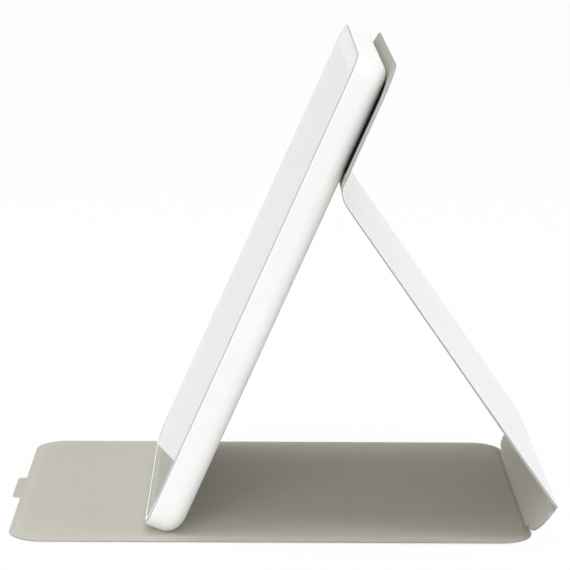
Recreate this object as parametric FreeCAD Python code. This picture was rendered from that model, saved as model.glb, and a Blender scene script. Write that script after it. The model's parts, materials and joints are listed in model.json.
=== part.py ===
"""Folding lighted mirror in a folio cover, standing open on its front cover.

Millimetres, +Z up. The mirror faces -Y and X runs across its width. The cover is one
laminated sheet in four panels, base, spine, support and back panel, with a fold between
each two. The panels are stiffened by boards under the lining, which is on the inner side.
The origin is the middle of the underside of the base.
"""
import FreeCAD, Part
import math
import os
from FreeCAD import Placement, Rotation, Vector

# Mirror unit
MIRROR_WIDTH = 160.0
MIRROR_HEIGHT = 239.0
MIRROR_DEPTH = 16.0
MIRROR_CORNER = 14.0
BACK_ROUND = 7.0
HEEL_ROUND = 13.0
BACK_WALL = 1.8
RIM_WIDTH = 1.0
RIM_ROUND = 0.4
LEDGE_WIDTH = 1.5
LEAST_ROUND = 0.5

# Glass and light
GLASS_PROUD = 0.8
GLASS_THICKNESS = 2.0
GLASS_PLAY = 0.2
GLASS_ARRIS = 0.25
LIGHT_BAND = 10.0
SILVER_THICKNESS = 0.1
BOND_THICKNESS = 0.3
BOND_WIDTH = 1.2
DIFFUSER_THICKNESS = 2.0
DIFFUSER_OVERLAP = 3.5
LIGHT_GAP = 3.1
LED_BOARD_WIDTH = 6.0
LED_BOARD_THICKNESS = 1.0
LED_PITCH = 12.0
LED_LENGTH = 3.5
LED_WIDTH = 2.8
LED_HEIGHT = 0.7

# Chassis and its screws
CHASSIS_PLATE = 1.0
CHASSIS_PLAY = 1.0
CHASSIS_RIB = 1.5
BOSS_DIAMETER = 5.0
BOSS_EDGE = 22.0
SCREW_DIAMETER = 1.9
SCREW_HEAD_DIAMETER = 3.8
SCREW_HEAD_HEIGHT = 1.3
SCREW_LENGTH = 5.0
SCREW_PLAY = 0.05

# Battery
BATTERY_WIDTH = 70.0
BATTERY_LENGTH = 110.0
BATTERY_THICKNESS = 3.0
BATTERY_CORNER = 2.0
BATTERY_FROM_BOTTOM = 62.0
BATTERY_TAPE = 0.2
BATTERY_TAPE_INSET = 6.0

# Control board and what is on it
BOARD_THICKNESS = 1.0
BOARD_WIDTH = 26.0
BOARD_LENGTH = 48.0
BOARD_FROM_BOTTOM = 42.0
BOARD_FROM_WALL = 2.0
BOARD_STANDOFF = 1.4
BOARD_SCREW_EDGE = 4.0
SOCKET_WIDTH = 8.94
SOCKET_HEIGHT = 3.26
SOCKET_DEPTH = 7.35
SOCKET_WALL = 0.3
SOCKET_SETBACK = 0.5
SOCKET_TONGUE_WIDTH = 6.7
SOCKET_TONGUE_HEIGHT = 0.7
SOCKET_TONGUE_SETBACK = 1.2
SOCKET_FROM_BOARD_END = 10.0
PORT_PLAY = 0.2
BUTTON_LENGTH = 12.0
BUTTON_HEIGHT = 3.2
BUTTON_PROUD = 0.5
BUTTON_PLAY = 0.2
BUTTON_FLANGE = 0.4
BUTTON_FLANGE_END = 1.0
BUTTON_FLANGE_THICKNESS = 1.0
BUTTON_FLANGE_GAP = 0.1
BUTTON_STEM = 0.5
BUTTON_TRAVEL = 0.4
BUTTON_EDGE_ROUND = 0.4
BUTTON_FROM_SOCKET = 20.0
SWITCH_LENGTH = 6.0
SWITCH_DEPTH = 3.0
SWITCH_HEIGHT = 2.4
PLUNGER_WIDTH = 1.8
PLUNGER_HEIGHT = 1.0
PLUNGER_PLAY = 0.08
PLUNGER_STANDOUT = 1.2
PLUNGER_BURIED = 0.6
LIGHT_PIPE_DIAMETER = 1.6
LIGHT_PIPE_PLAY = 0.05
LIGHT_PIPE_LENGTH = 4.2
LIGHT_PIPE_FROM_BUTTON = 10.5
POCKET_PLAY = 0.4
LEAD_DIAMETER = 0.8
LEAD_SPACING = 3.0
LEAD_LANDING = 4.0
PIN_DIAMETER = 0.8
PIN_SPACING = 2.54
PIN_SLOT_PLAY = 0.6

# Foot magnets and their keeper in the base
MAGNET_LENGTH = 24.0
MAGNET_SIDE = 3.0
MAGNET_WALL = 0.9
MAGNET_PLAY = 0.1
MAGNET_CRADLE = 1.2
MAGNET_OFFSET = 45.0
KEEPER_WIDTH = 14.0
KEEPER_LENGTH = 126.0

# Cover sheet
SKIN = 0.5
BOARD = 0.6
LINING = 0.4
FORMED_ROUND = 0.25
COVER_MARGIN = 5.0
FRONT_OVERHANG = 0.2
BACK_OVERHANG = 1.9
HEEL_SHORTCUT = 4.3
SPINE_PLAY = 0.2
CLOSING_PLAY = 1.5
BACK_PANEL_LENGTH = 61.9
COVER_CORNER = 16.0
SPINE_INSET = 2.8
SPINE_CORNER = 13.0
BOARD_INSET = 3.0
BOARD_FOLD_INSET = 1.5
CREASE_INSET = 23.0
CREASE_PLAY = 0.4
BASE_EAR = 1.0
SPINE_EAR = 1.4
SUPPORT_EAR = 0.3
NARROW_FOLD = 2.5
WIDE_FOLD = 6.0
TAB_WIDTH = 32.0
TAB_DEPTH = 4.0
TAB_CORNER = 1.5
BACK_BOND = 0.5
BACK_BOND_INSET = 4.0

# How the stand is set
MIRROR_LEAN = math.radians(66.3)
SPINE_ANGLE = math.radians(56.5)
FOOT_GAP = 0.3

# Cover sizes that follow from the mirror it wraps. The support is shorter than the way
# round a square corner, since the closed cover cuts across the tray's rounded heel.
PANEL_RISE = BOARD + LINING
COVER_HALF = MIRROR_WIDTH / 2 + COVER_MARGIN
SPINE_HALF = COVER_HALF - SPINE_INSET
CREASE_HALF = COVER_HALF - CREASE_INSET
SPINE_SEAT = PANEL_RISE + SPINE_PLAY
BASE_LENGTH = MIRROR_HEIGHT + SPINE_SEAT + FRONT_OVERHANG
SPINE_LENGTH = MIRROR_DEPTH + BACK_BOND + 2 * PANEL_RISE + CLOSING_PLAY
FOLD_HEIGHT = MIRROR_HEIGHT + BACK_OVERHANG - BACK_PANEL_LENGTH
SUPPORT_LENGTH = FOLD_HEIGHT + SPINE_SEAT - HEEL_SHORTCUT

# Levels in the mirror unit, measured forwards from the front of the glass
GLASS_BACK = -GLASS_THICKNESS
SILVER_BACK = GLASS_BACK - SILVER_THICKNESS
DIFFUSER_TOP = GLASS_BACK - BOND_THICKNESS
LEDGE = DIFFUSER_TOP - DIFFUSER_THICKNESS
PLATE_TOP = LEDGE - LIGHT_GAP
PLATE_BOTTOM = PLATE_TOP - CHASSIS_PLATE
LED_TOP = PLATE_TOP + LED_BOARD_THICKNESS
FLOOR = -MIRROR_DEPTH + BACK_WALL
CONTROL_BOTTOM = FLOOR + BOARD_STANDOFF
CONTROL_TOP = CONTROL_BOTTOM + BOARD_THICKNESS
SOCKET_LEVEL = CONTROL_TOP + SOCKET_HEIGHT / 2
BUTTON_LEVEL = CONTROL_TOP + SWITCH_HEIGHT / 2
BATTERY_BOTTOM = FLOOR + BATTERY_TAPE
BATTERY_TOP = BATTERY_BOTTOM + BATTERY_THICKNESS
COVER_LEVEL = -MIRROR_DEPTH - BACK_BOND - PANEL_RISE

# Insets from the outline of the mirror
WALL_INSET = RIM_WIDTH + LEDGE_WIDTH
GLASS_INSET = RIM_WIDTH + GLASS_PLAY
SILVER_INSET = GLASS_INSET + LIGHT_BAND
DIFFUSER_INNER = SILVER_INSET + DIFFUSER_OVERLAP
RIB_INSET = DIFFUSER_INNER - CHASSIS_RIB
CHASSIS_INSET = WALL_INSET + CHASSIS_PLAY
LED_INSET = (CHASSIS_INSET + RIB_INSET) / 2

# Places on the left wall, across and up the mirror
LEFT = -MIRROR_WIDTH / 2
LEFT_INNER = LEFT + WALL_INSET
CONTROL_LEFT = LEFT_INNER + BOARD_FROM_WALL
CONTROL_RIGHT = CONTROL_LEFT + BOARD_WIDTH
SOCKET_UP = BOARD_FROM_BOTTOM + SOCKET_FROM_BOARD_END
BUTTON_UP = SOCKET_UP + BUTTON_FROM_SOCKET
LIGHT_PIPE_UP = BUTTON_UP + LIGHT_PIPE_FROM_BUTTON
FLANGE_OUTER = LEFT_INNER + BUTTON_FLANGE_GAP
STEM_END = FLANGE_OUTER + BUTTON_FLANGE_THICKNESS + BUTTON_STEM
SWITCH_FRONT = STEM_END + PLUNGER_STANDOUT


def rounded_wire(corners):
    """Closed flat wire through corners (x, y, radius), each rounded by its own radius."""
    points = [Vector(x, y, 0) for x, y, _ in corners]
    joins = []
    for i, (_, _, radius) in enumerate(corners):
        here = points[i]
        to_last = (points[i - 1] - here).normalize()
        to_next = (points[(i + 1) % len(points)] - here).normalize()
        half = to_last.getAngle(to_next) / 2
        reach = radius / math.tan(half)
        crown = (to_last + to_next).normalize() * (radius / math.sin(half) - radius)
        joins.append((here + to_last * reach, here + crown, here + to_next * reach))
    edges = []
    for i, (start, crown, end) in enumerate(joins):
        last_end = joins[i - 1][2]
        edges.append(Part.LineSegment(last_end, start).toShape())
        if corners[i][2] > 0:
            edges.append(Part.Arc(start, crown, end).toShape())
    return Part.Wire(edges)


def plate(corners, low, high):
    """Flat plate with a rounded outline, between two levels."""
    shape = Part.Face(rounded_wire(corners)).extrude(Vector(0, 0, high - low))
    shape.translate(Vector(0, 0, low))
    return shape


def rectangle(half, low, high, low_round=0.0, high_round=0.0):
    """Corners of a rectangle that is centred across, from low to high along Y."""
    low_corners = [(-half, low, low_round), (half, low, low_round)]
    return low_corners + [(half, high, high_round), (-half, high, high_round)]


def box(centre, size):
    """Box about a centre point."""
    shape = Part.makeBox(*size)
    shape.translate(Vector(*centre) - Vector(*size) / 2)
    return shape


def rod(start, axis, radius, length):
    """Round rod from a start point along an axis."""
    return Part.makeCylinder(radius, length, Vector(*start), Vector(*axis))


def pill_bar(left, right, up, level, length, height):
    """Bar along X with a pill-shaped section, long up the mirror."""
    radius = height / 2
    straight = length / 2 - radius
    core = box(((left + right) / 2, up, level), (right - left, 2 * straight, height))
    ends = [rod((left, up + side * straight, level), (1, 0, 0), radius, right - left) for side in (-1, 1)]
    return core.fuse(ends).removeSplitter()


def edges_at(shape, level):
    """Edges that lie wholly at one level."""
    return [edge for edge in shape.Edges if all(abs(v.Z - level) < 1e-6 for v in edge.Vertexes)]


def mirror_outline(inset):
    """Corners of the mirror unit's outline, moved inwards."""
    corner = max(MIRROR_CORNER - inset, LEAST_ROUND)
    return rectangle(MIRROR_WIDTH / 2 - inset, inset, MIRROR_HEIGHT - inset, corner, corner)


def mirror_ring(outer, inner, low, high):
    """Ring that follows the mirror unit's outline between two insets."""
    return plate(mirror_outline(outer), low, high).cut(plate(mirror_outline(inner), low, high))


# Where the stand's folds lie, seen from the side as (y, z)
def along(angle, length):
    """Step of a length in the direction of an angle above +Y."""
    return Vector(0, math.cos(angle), math.sin(angle)) * length


BASE_TOP = SKIN + PANEL_RISE
REAR_FOLD = Vector(0, BASE_LENGTH, SKIN)
LOWER_FOLD = REAR_FOLD + along(SPINE_ANGLE, SPINE_LENGTH)
FACE_TO_UPPER_FOLD = along(MIRROR_LEAN, FOLD_HEIGHT) + along(MIRROR_LEAN + math.pi / 2, COVER_LEVEL)
HEEL_LEVEL = HEEL_ROUND - MIRROR_DEPTH
FACE_TO_HEEL = along(MIRROR_LEAN, HEEL_ROUND) + along(MIRROR_LEAN + math.pi / 2, HEEL_LEVEL)
FACE_HEIGHT = BASE_TOP + FOOT_GAP + HEEL_ROUND - FACE_TO_HEEL.z
SUPPORT_RISE = FACE_HEIGHT + FACE_TO_UPPER_FOLD.z - LOWER_FOLD.z
SUPPORT_ANGLE = math.pi - math.asin(SUPPORT_RISE / SUPPORT_LENGTH)
UPPER_FOLD = LOWER_FOLD + along(SUPPORT_ANGLE, SUPPORT_LENGTH)
FACE_FOOT = UPPER_FOLD - FACE_TO_UPPER_FOLD
FOOT_CONTACT = FACE_FOOT + FACE_TO_HEEL

PLACES = {
    "base": Placement(REAR_FOLD, Rotation()),
    "spine": Placement(REAR_FOLD, Rotation(Vector(1, 0, 0), math.degrees(SPINE_ANGLE))),
    "support": Placement(LOWER_FOLD, Rotation(Vector(1, 0, 0), math.degrees(SUPPORT_ANGLE))),
    "back_panel": Placement(UPPER_FOLD, Rotation(Vector(1, 0, 0), math.degrees(MIRROR_LEAN))),
    "mirror": Placement(FACE_FOOT, Rotation(Vector(1, 0, 0), math.degrees(MIRROR_LEAN))),
}


# Cover panels, each flat in its own frame with its fold along X
def formed_lining(outline, board_shape, plateau_outline):
    """Lining bonded to the skin round the edge and formed up over the board."""
    step_round = min(FORMED_ROUND, BOARD / 2)
    plateau = plate(plateau_outline, 0, PANEL_RISE)
    plateau = plateau.makeFillet(step_round, edges_at(plateau, PANEL_RISE))
    return plate(outline, 0, LINING).fuse(plateau).cut(board_shape).removeSplitter()


def cover_panel(outline, half, board_low, board_high, low_round, high_round):
    """Skin, board and lining of one panel.

    The board is a rounded rectangle of a half width, from board_low to board_high, and
    the lining's plateau is the same rectangle grown by the lining's own thickness.
    """
    board_outline = rectangle(half, board_low, board_high, low_round, high_round)
    board = plate(board_outline, 0, BOARD)
    plateau = rectangle(
        half + LINING,
        board_low - LINING,
        board_high + LINING,
        low_round + LINING,
        high_round + LINING,
    )
    return plate(outline, -SKIN, 0), board, formed_lining(outline, board, plateau)


def base_outline():
    """Front cover with a finger tab on its front edge and rounded ears beside the rear fold."""
    front = -BASE_LENGTH
    tab_half = TAB_WIDTH / 2
    crease_half = CREASE_HALF + CREASE_PLAY
    return [
        (-COVER_HALF, front, COVER_CORNER),
        (-tab_half, front, 0),
        (-tab_half, front - TAB_DEPTH, TAB_CORNER),
        (tab_half, front - TAB_DEPTH, TAB_CORNER),
        (tab_half, front, 0),
        (COVER_HALF, front, COVER_CORNER),
        (COVER_HALF, BASE_EAR, COVER_CORNER),
        (crease_half, BASE_EAR, LEAST_ROUND),
        (crease_half, -NARROW_FOLD, 0),
        (-crease_half, -NARROW_FOLD, 0),
        (-crease_half, BASE_EAR, LEAST_ROUND),
        (-COVER_HALF, BASE_EAR, COVER_CORNER),
    ]


def eared_outline(half, high, fold_half, ear, ear_round):
    """Panel whose lower corners reach past the end of a narrower fold, with play beside it."""
    notch = fold_half + CREASE_PLAY
    return [
        (-half, ear, ear_round),
        (-notch, ear, LEAST_ROUND),
        (-notch, NARROW_FOLD, 0),
        (notch, NARROW_FOLD, 0),
        (notch, ear, LEAST_ROUND),
        (half, ear, ear_round),
        (half, high, 0),
        (-half, high, 0),
    ]


def make_base():
    """Base panel, with a steel keeper let into its board under the mirror's foot."""
    board_round = COVER_CORNER - BOARD_INSET
    skin, board, lining = cover_panel(
        base_outline(),
        COVER_HALF - BOARD_INSET,
        -BASE_LENGTH + BOARD_INSET,
        -NARROW_FOLD - BOARD_FOLD_INSET,
        board_round,
        board_round,
    )
    keeper = box(
        (0, FOOT_CONTACT.y - BASE_LENGTH, BOARD / 2),
        (KEEPER_LENGTH, KEEPER_WIDTH, BOARD),
    )
    return {
        "base_skin": skin,
        "base_board": board.cut(keeper),
        "base_lining": lining,
        "base_keeper_strip": keeper,
    }


def make_spine():
    """Spine panel: a little narrower than the rest, with rounded corners beside the base."""
    high = SPINE_LENGTH - NARROW_FOLD
    corner = min(SPINE_CORNER, high - NARROW_FOLD - LEAST_ROUND)
    skin, board, lining = cover_panel(
        eared_outline(SPINE_HALF, high, CREASE_HALF, SPINE_EAR, corner),
        SPINE_HALF - BOARD_INSET,
        NARROW_FOLD + BOARD_FOLD_INSET,
        high - BOARD_FOLD_INSET,
        corner - BOARD_INSET,
        LEAST_ROUND,
    )
    return {"spine_skin": skin, "spine_board": board, "spine_lining": lining}


def make_support():
    """Support panel, the prop behind the mirror, with small corners past the spine's ends."""
    high = SUPPORT_LENGTH - WIDE_FOLD
    skin, board, lining = cover_panel(
        eared_outline(COVER_HALF, high, SPINE_HALF, SUPPORT_EAR, LEAST_ROUND),
        COVER_HALF - BOARD_INSET,
        NARROW_FOLD + BOARD_FOLD_INSET,
        high - BOARD_FOLD_INSET,
        LEAST_ROUND,
        LEAST_ROUND,
    )
    return {"support_skin": skin, "support_board": board, "support_lining": lining}


def make_back_panel():
    """Back panel, bonded to the mirror unit's back."""
    skin, board, lining = cover_panel(
        rectangle(COVER_HALF, WIDE_FOLD, BACK_PANEL_LENGTH, 0, COVER_CORNER),
        COVER_HALF - BOARD_INSET,
        WIDE_FOLD + BOARD_FOLD_INSET,
        BACK_PANEL_LENGTH - BOARD_INSET,
        LEAST_ROUND,
        COVER_CORNER - BOARD_INSET,
    )
    return {"back_panel_skin": skin, "back_panel_board": board, "back_panel_lining": lining}


def fold_strip(axis, angle_in, angle_out, reach, half, low, high):
    """Strip of the sheet bent round one fold, between two levels of the sheet.

    The sheet leaves the first panel at reach before the fold's axis and joins the second
    at reach after it, on one arc.
    """
    bend = angle_out - angle_in
    side = math.copysign(1, bend)
    radius = reach / math.tan(abs(bend) / 2)
    centre = axis - along(angle_in, reach) + along(angle_in + math.pi / 2, side * radius)

    def spot(angle, level):
        return centre - along(angle + math.pi / 2, side * radius - level)

    middle = (angle_in + angle_out) / 2
    edges = [
        Part.Arc(spot(angle_in, low), spot(middle, low), spot(angle_out, low)).toShape(),
        Part.LineSegment(spot(angle_out, low), spot(angle_out, high)).toShape(),
        Part.Arc(spot(angle_out, high), spot(middle, high), spot(angle_in, high)).toShape(),
        Part.LineSegment(spot(angle_in, high), spot(angle_in, low)).toShape(),
    ]
    strip = Part.Face(Part.Wire(edges)).extrude(Vector(2 * half, 0, 0))
    strip.translate(Vector(-half, 0, 0))
    return strip


def make_folds():
    """Skin and lining of the three folds, in the stand's own frame."""
    folds = {
        "rear_fold": (REAR_FOLD, 0.0, SPINE_ANGLE, NARROW_FOLD, CREASE_HALF),
        "lower_fold": (LOWER_FOLD, SPINE_ANGLE, SUPPORT_ANGLE, NARROW_FOLD, SPINE_HALF),
        "upper_fold": (UPPER_FOLD, SUPPORT_ANGLE, MIRROR_LEAN, WIDE_FOLD, COVER_HALF),
    }
    strips = {}
    for name, fold in folds.items():
        strips[name + "_skin"] = fold_strip(*fold, -SKIN, 0)
        strips[name + "_lining"] = fold_strip(*fold, 0, LINING)
    return strips


# Mirror unit, flat in its own frame: X across, Y up the mirror, Z out of the glass
def boss_spots():
    """Places of the tray's bosses, three up each side and one at each end."""
    side = MIRROR_WIDTH / 2 - BOSS_EDGE
    ends = (BOSS_EDGE, MIRROR_HEIGHT - BOSS_EDGE)
    spots = [(x, y) for x in (-side, side) for y in (ends[0], MIRROR_HEIGHT / 2, ends[1])]
    return spots + [(0, y) for y in ends]


def board_screw_spots():
    """Places of the two screws that hold the control board."""
    across = (CONTROL_LEFT + CONTROL_RIGHT) / 2
    low = BOARD_FROM_BOTTOM + BOARD_SCREW_EDGE
    return [(across, low), (across, BOARD_FROM_BOTTOM + BOARD_LENGTH - BOARD_SCREW_EDGE)]


def screws(spots, seat):
    """Pan-head screws whose heads bear on a seat level."""
    solids = []
    for x, y in spots:
        head = rod((x, y, seat), (0, 0, 1), SCREW_HEAD_DIAMETER / 2, SCREW_HEAD_HEIGHT)
        head = head.makeFillet(SCREW_HEAD_HEIGHT / 2, edges_at(head, seat + SCREW_HEAD_HEIGHT))
        shank = rod((x, y, seat), (0, 0, -1), SCREW_DIAMETER / 2, SCREW_LENGTH)
        solids.append(head.fuse(shank).removeSplitter())
    return Part.makeCompound(solids)


def bosses(spots, top):
    """Round bosses that stand on the tray's floor and are rooted in its back wall."""
    root = FLOOR - BACK_WALL / 2
    return [rod((x, y, root), (0, 0, 1), BOSS_DIAMETER / 2, top - root) for x, y in spots]


def screw_holes(spots, low, high):
    """Round holes that clear the screws' shanks."""
    radius = SCREW_DIAMETER / 2 + SCREW_PLAY
    return [rod((x, y, low), (0, 0, 1), radius, high - low) for x, y in spots]


def magnet_spots():
    """Centres of the two foot magnets, tucked into the tray's rounded heel."""
    corner = (HEEL_ROUND - MAGNET_WALL) * math.cos(math.pi / 4)
    up = HEEL_ROUND - corner + MAGNET_SIDE / 2
    level = HEEL_LEVEL - corner + MAGNET_SIDE / 2
    return [(side * MAGNET_OFFSET, up, level) for side in (-1, 1)]


def heel_block(inset, low):
    """Block with the section of the tray's rounded heel, moved inwards, wider than the tray."""
    high = MIRROR_HEIGHT + HEEL_ROUND
    section = [(inset, low, HEEL_ROUND - inset), (high, low, 0), (high, 0, 0), (inset, 0, 0)]
    block = Part.Face(rounded_wire(section)).extrude(Vector(0, 0, 2 * MIRROR_WIDTH))
    # A third of a turn about the diagonal takes X to Y, Y to Z and Z to X
    block.rotate(Vector(), Vector(1, 1, 1), math.degrees(2 * math.pi / 3))
    block.translate(Vector(-MIRROR_WIDTH, 0, 0))
    return block


def make_tray():
    """Back shell: a moulded tray with a ledge for the glass, bosses and magnet cradles."""
    body = plate(mirror_outline(0), -MIRROR_DEPTH, -GLASS_PROUD)
    body = body.makeFillet(BACK_ROUND, edges_at(body, -MIRROR_DEPTH))
    body = body.makeFillet(RIM_ROUND, edges_at(body, -GLASS_PROUD))
    body = body.common(heel_block(0, -MIRROR_DEPTH))
    cavity = plate(mirror_outline(WALL_INSET), FLOOR, LEDGE)
    cavity = cavity.makeFillet(BACK_ROUND - BACK_WALL, edges_at(cavity, FLOOR))
    cavity = cavity.common(heel_block(BACK_WALL, FLOOR))
    tray = body.cut([plate(mirror_outline(RIM_WIDTH), LEDGE, 0), cavity])

    inside = bosses(boss_spots(), PLATE_BOTTOM) + bosses(board_screw_spots(), CONTROL_BOTTOM)
    pockets = []
    for x, up, level in magnet_spots():
        top = level + MAGNET_SIDE / 2
        reach = up + MAGNET_SIDE / 2 + MAGNET_CRADLE
        wide = MAGNET_LENGTH + 2 * MAGNET_CRADLE
        block = box((x, reach / 2, (top - MIRROR_DEPTH) / 2), (wide, reach, top + MIRROR_DEPTH))
        inside.append(block.common(body))
        play = 2 * MAGNET_PLAY
        pockets.append(box((x, up, level), (MAGNET_LENGTH + play, MAGNET_SIDE + play, MAGNET_SIDE + play)))
    tray = tray.fuse(inside).removeSplitter()

    pilot_depth = PLATE_TOP - SCREW_LENGTH - SCREW_PLAY
    cuts = pockets + screw_holes(boss_spots(), pilot_depth, PLATE_BOTTOM)
    cuts += screw_holes(board_screw_spots(), CONTROL_TOP - SCREW_LENGTH + BOARD_STANDOFF, CONTROL_BOTTOM)
    return tray.cut(cuts + wall_windows()).removeSplitter()


def wall_windows():
    """Cuts through the left wall for the socket, the button and the light pipe."""
    outside = LEFT - MIRROR_CORNER
    inside = CONTROL_LEFT
    port = pill_bar(
        outside,
        inside,
        SOCKET_UP,
        SOCKET_LEVEL,
        SOCKET_WIDTH + 2 * PORT_PLAY,
        SOCKET_HEIGHT + 2 * PORT_PLAY,
    )
    button = pill_bar(
        outside,
        inside,
        BUTTON_UP,
        BUTTON_LEVEL,
        BUTTON_LENGTH + 2 * BUTTON_PLAY,
        BUTTON_HEIGHT + 2 * BUTTON_PLAY,
    )
    pipe_radius = LIGHT_PIPE_DIAMETER / 2 + LIGHT_PIPE_PLAY
    pipe = rod((outside, LIGHT_PIPE_UP, BUTTON_LEVEL), (1, 0, 0), pipe_radius, inside - outside)
    pocket_height = BUTTON_HEIGHT + 2 * (BUTTON_FLANGE + POCKET_PLAY)
    pocket_low = BUTTON_UP - BUTTON_LENGTH / 2 - BUTTON_FLANGE_END - POCKET_PLAY
    pocket_high = BUTTON_UP + BUTTON_LENGTH / 2 + BUTTON_FLANGE_END + POCKET_PLAY
    pocket = box(
        ((LEFT_INNER + inside) / 2, (pocket_low + pocket_high) / 2, BUTTON_LEVEL),
        (inside - LEFT_INNER, pocket_high - pocket_low, pocket_height),
    )
    return [port, button, pipe, pocket]


def make_glass():
    """Glass sheet with eased edges, its silvering, bond rings and opal diffuser."""
    glass = plate(mirror_outline(GLASS_INSET), GLASS_BACK, 0)
    glass = glass.makeChamfer(GLASS_ARRIS, edges_at(glass, 0))
    outer_bond = mirror_ring(GLASS_INSET, GLASS_INSET + BOND_WIDTH, DIFFUSER_TOP, GLASS_BACK)
    inner_bond = mirror_ring(DIFFUSER_INNER - BOND_WIDTH, DIFFUSER_INNER, DIFFUSER_TOP, SILVER_BACK)
    return {
        "mirror_glass": glass,
        "silver_layer": plate(mirror_outline(SILVER_INSET), SILVER_BACK, GLASS_BACK),
        "glass_bond_rings": Part.makeCompound([outer_bond, inner_bond]),
        "light_diffuser": mirror_ring(GLASS_INSET, DIFFUSER_INNER, LEDGE, DIFFUSER_TOP),
    }


def led_spots():
    """Places of the light-emitting diodes, with the angle of each, along the four sides."""
    half = MIRROR_WIDTH / 2 - LED_INSET
    low = LED_INSET
    high = MIRROR_HEIGHT - LED_INSET
    across = int((2 * half - LED_PITCH) // LED_PITCH)
    upward = int((high - low - LED_PITCH) // LED_PITCH)
    spots = []
    for i in range(across + 1):
        x = (i - across / 2) * LED_PITCH
        spots += [(x, low, 0), (x, high, 0)]
    for i in range(upward + 1):
        y = (low + high) / 2 + (i - upward / 2) * LED_PITCH
        spots += [(-half, y, 1), (half, y, 1)]
    return spots


def make_light():
    """Chassis with its light-box rib, the ring-shaped LED board and the LEDs on it."""
    chassis = plate(mirror_outline(CHASSIS_INSET), PLATE_BOTTOM, PLATE_TOP)
    chassis = chassis.fuse(mirror_ring(RIB_INSET, DIFFUSER_INNER, PLATE_BOTTOM, LEDGE))
    holes = screw_holes(boss_spots(), PLATE_BOTTOM, PLATE_TOP)
    pin_across = LEFT + LED_INSET
    slot = PIN_DIAMETER + 2 * PIN_SLOT_PLAY
    slot_centre = (pin_across, pin_spots()[0][1] + PIN_SPACING / 2, (PLATE_TOP + PLATE_BOTTOM) / 2)
    holes.append(box(slot_centre, (slot, PIN_SPACING + slot, CHASSIS_PLATE)))
    ring_outer = LED_INSET - LED_BOARD_WIDTH / 2
    ring = mirror_ring(ring_outer, ring_outer + LED_BOARD_WIDTH, PLATE_TOP, LED_TOP)
    leds = []
    for x, y, upright in led_spots():
        size = (LED_WIDTH, LED_LENGTH, LED_HEIGHT) if upright else (LED_LENGTH, LED_WIDTH, LED_HEIGHT)
        leds.append(box((x, y, LED_TOP + LED_HEIGHT / 2), size))
    return {
        "light_chassis": chassis.cut(holes).removeSplitter(),
        "led_board": ring,
        "leds": Part.makeCompound(leds),
        "chassis_screws": screws(boss_spots(), PLATE_TOP),
    }


def pin_spots():
    """Places of the two pins that join the LED board to the control board."""
    last = BOARD_FROM_BOTTOM + BOARD_LENGTH - BOARD_SCREW_EDGE
    return [(LEFT + LED_INSET, last - PIN_SPACING), (LEFT + LED_INSET, last)]


def make_battery():
    """Flat battery on a pad of tape, with its two leads to the control board."""
    half = BATTERY_WIDTH / 2
    low = BATTERY_FROM_BOTTOM
    high = low + BATTERY_LENGTH
    inset = BATTERY_TAPE_INSET
    lead_level = BATTERY_TOP - LEAD_DIAMETER / 2
    lead_start = CONTROL_RIGHT - LEAD_LANDING
    leads = []
    for i in (1, 2):
        start = (lead_start, low + i * LEAD_SPACING, lead_level)
        leads.append(rod(start, (1, 0, 0), LEAD_DIAMETER / 2, -half - lead_start))
    pouch = rectangle(half, low, high, BATTERY_CORNER, BATTERY_CORNER)
    return {
        "battery": plate(pouch, BATTERY_BOTTOM, BATTERY_TOP),
        "battery_tape": plate(rectangle(half - inset, low + inset, high - inset), FLOOR, BATTERY_BOTTOM),
        "battery_leads": Part.makeCompound(leads),
    }


def make_socket():
    """Charging socket: a drawn metal shell with a closed back and a contact tongue."""
    mouth = LEFT + SOCKET_SETBACK
    back = mouth + SOCKET_DEPTH
    shell = pill_bar(mouth, back, SOCKET_UP, SOCKET_LEVEL, SOCKET_WIDTH, SOCKET_HEIGHT)
    bore = pill_bar(
        mouth,
        back - SOCKET_WALL,
        SOCKET_UP,
        SOCKET_LEVEL,
        SOCKET_WIDTH - 2 * SOCKET_WALL,
        SOCKET_HEIGHT - 2 * SOCKET_WALL,
    )
    tip = mouth + SOCKET_TONGUE_SETBACK
    tongue = box(
        ((tip + back) / 2, SOCKET_UP, SOCKET_LEVEL),
        (back - tip, SOCKET_TONGUE_WIDTH, SOCKET_TONGUE_HEIGHT),
    )
    return shell.cut(bore).fuse(tongue).removeSplitter()


def make_button():
    """Power button with a retaining flange behind the wall and a stem to the switch."""
    cap = pill_bar(LEFT - BUTTON_PROUD, FLANGE_OUTER, BUTTON_UP, BUTTON_LEVEL, BUTTON_LENGTH, BUTTON_HEIGHT)
    outer_edges = [e for e in cap.Edges if all(abs(v.X - LEFT + BUTTON_PROUD) < 1e-6 for v in e.Vertexes)]
    cap = cap.makeFillet(BUTTON_EDGE_ROUND, outer_edges)
    flange_inner = FLANGE_OUTER + BUTTON_FLANGE_THICKNESS
    flange = box(
        ((FLANGE_OUTER + flange_inner) / 2, BUTTON_UP, BUTTON_LEVEL),
        (
            BUTTON_FLANGE_THICKNESS,
            BUTTON_LENGTH + 2 * BUTTON_FLANGE_END,
            BUTTON_HEIGHT + 2 * BUTTON_FLANGE,
        ),
    )
    stem = box(
        (flange_inner + BUTTON_STEM / 2, BUTTON_UP, BUTTON_LEVEL),
        (BUTTON_STEM, 2 * PLUNGER_WIDTH, PLUNGER_HEIGHT),
    )
    return cap.fuse([flange, stem]).removeSplitter()


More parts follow.
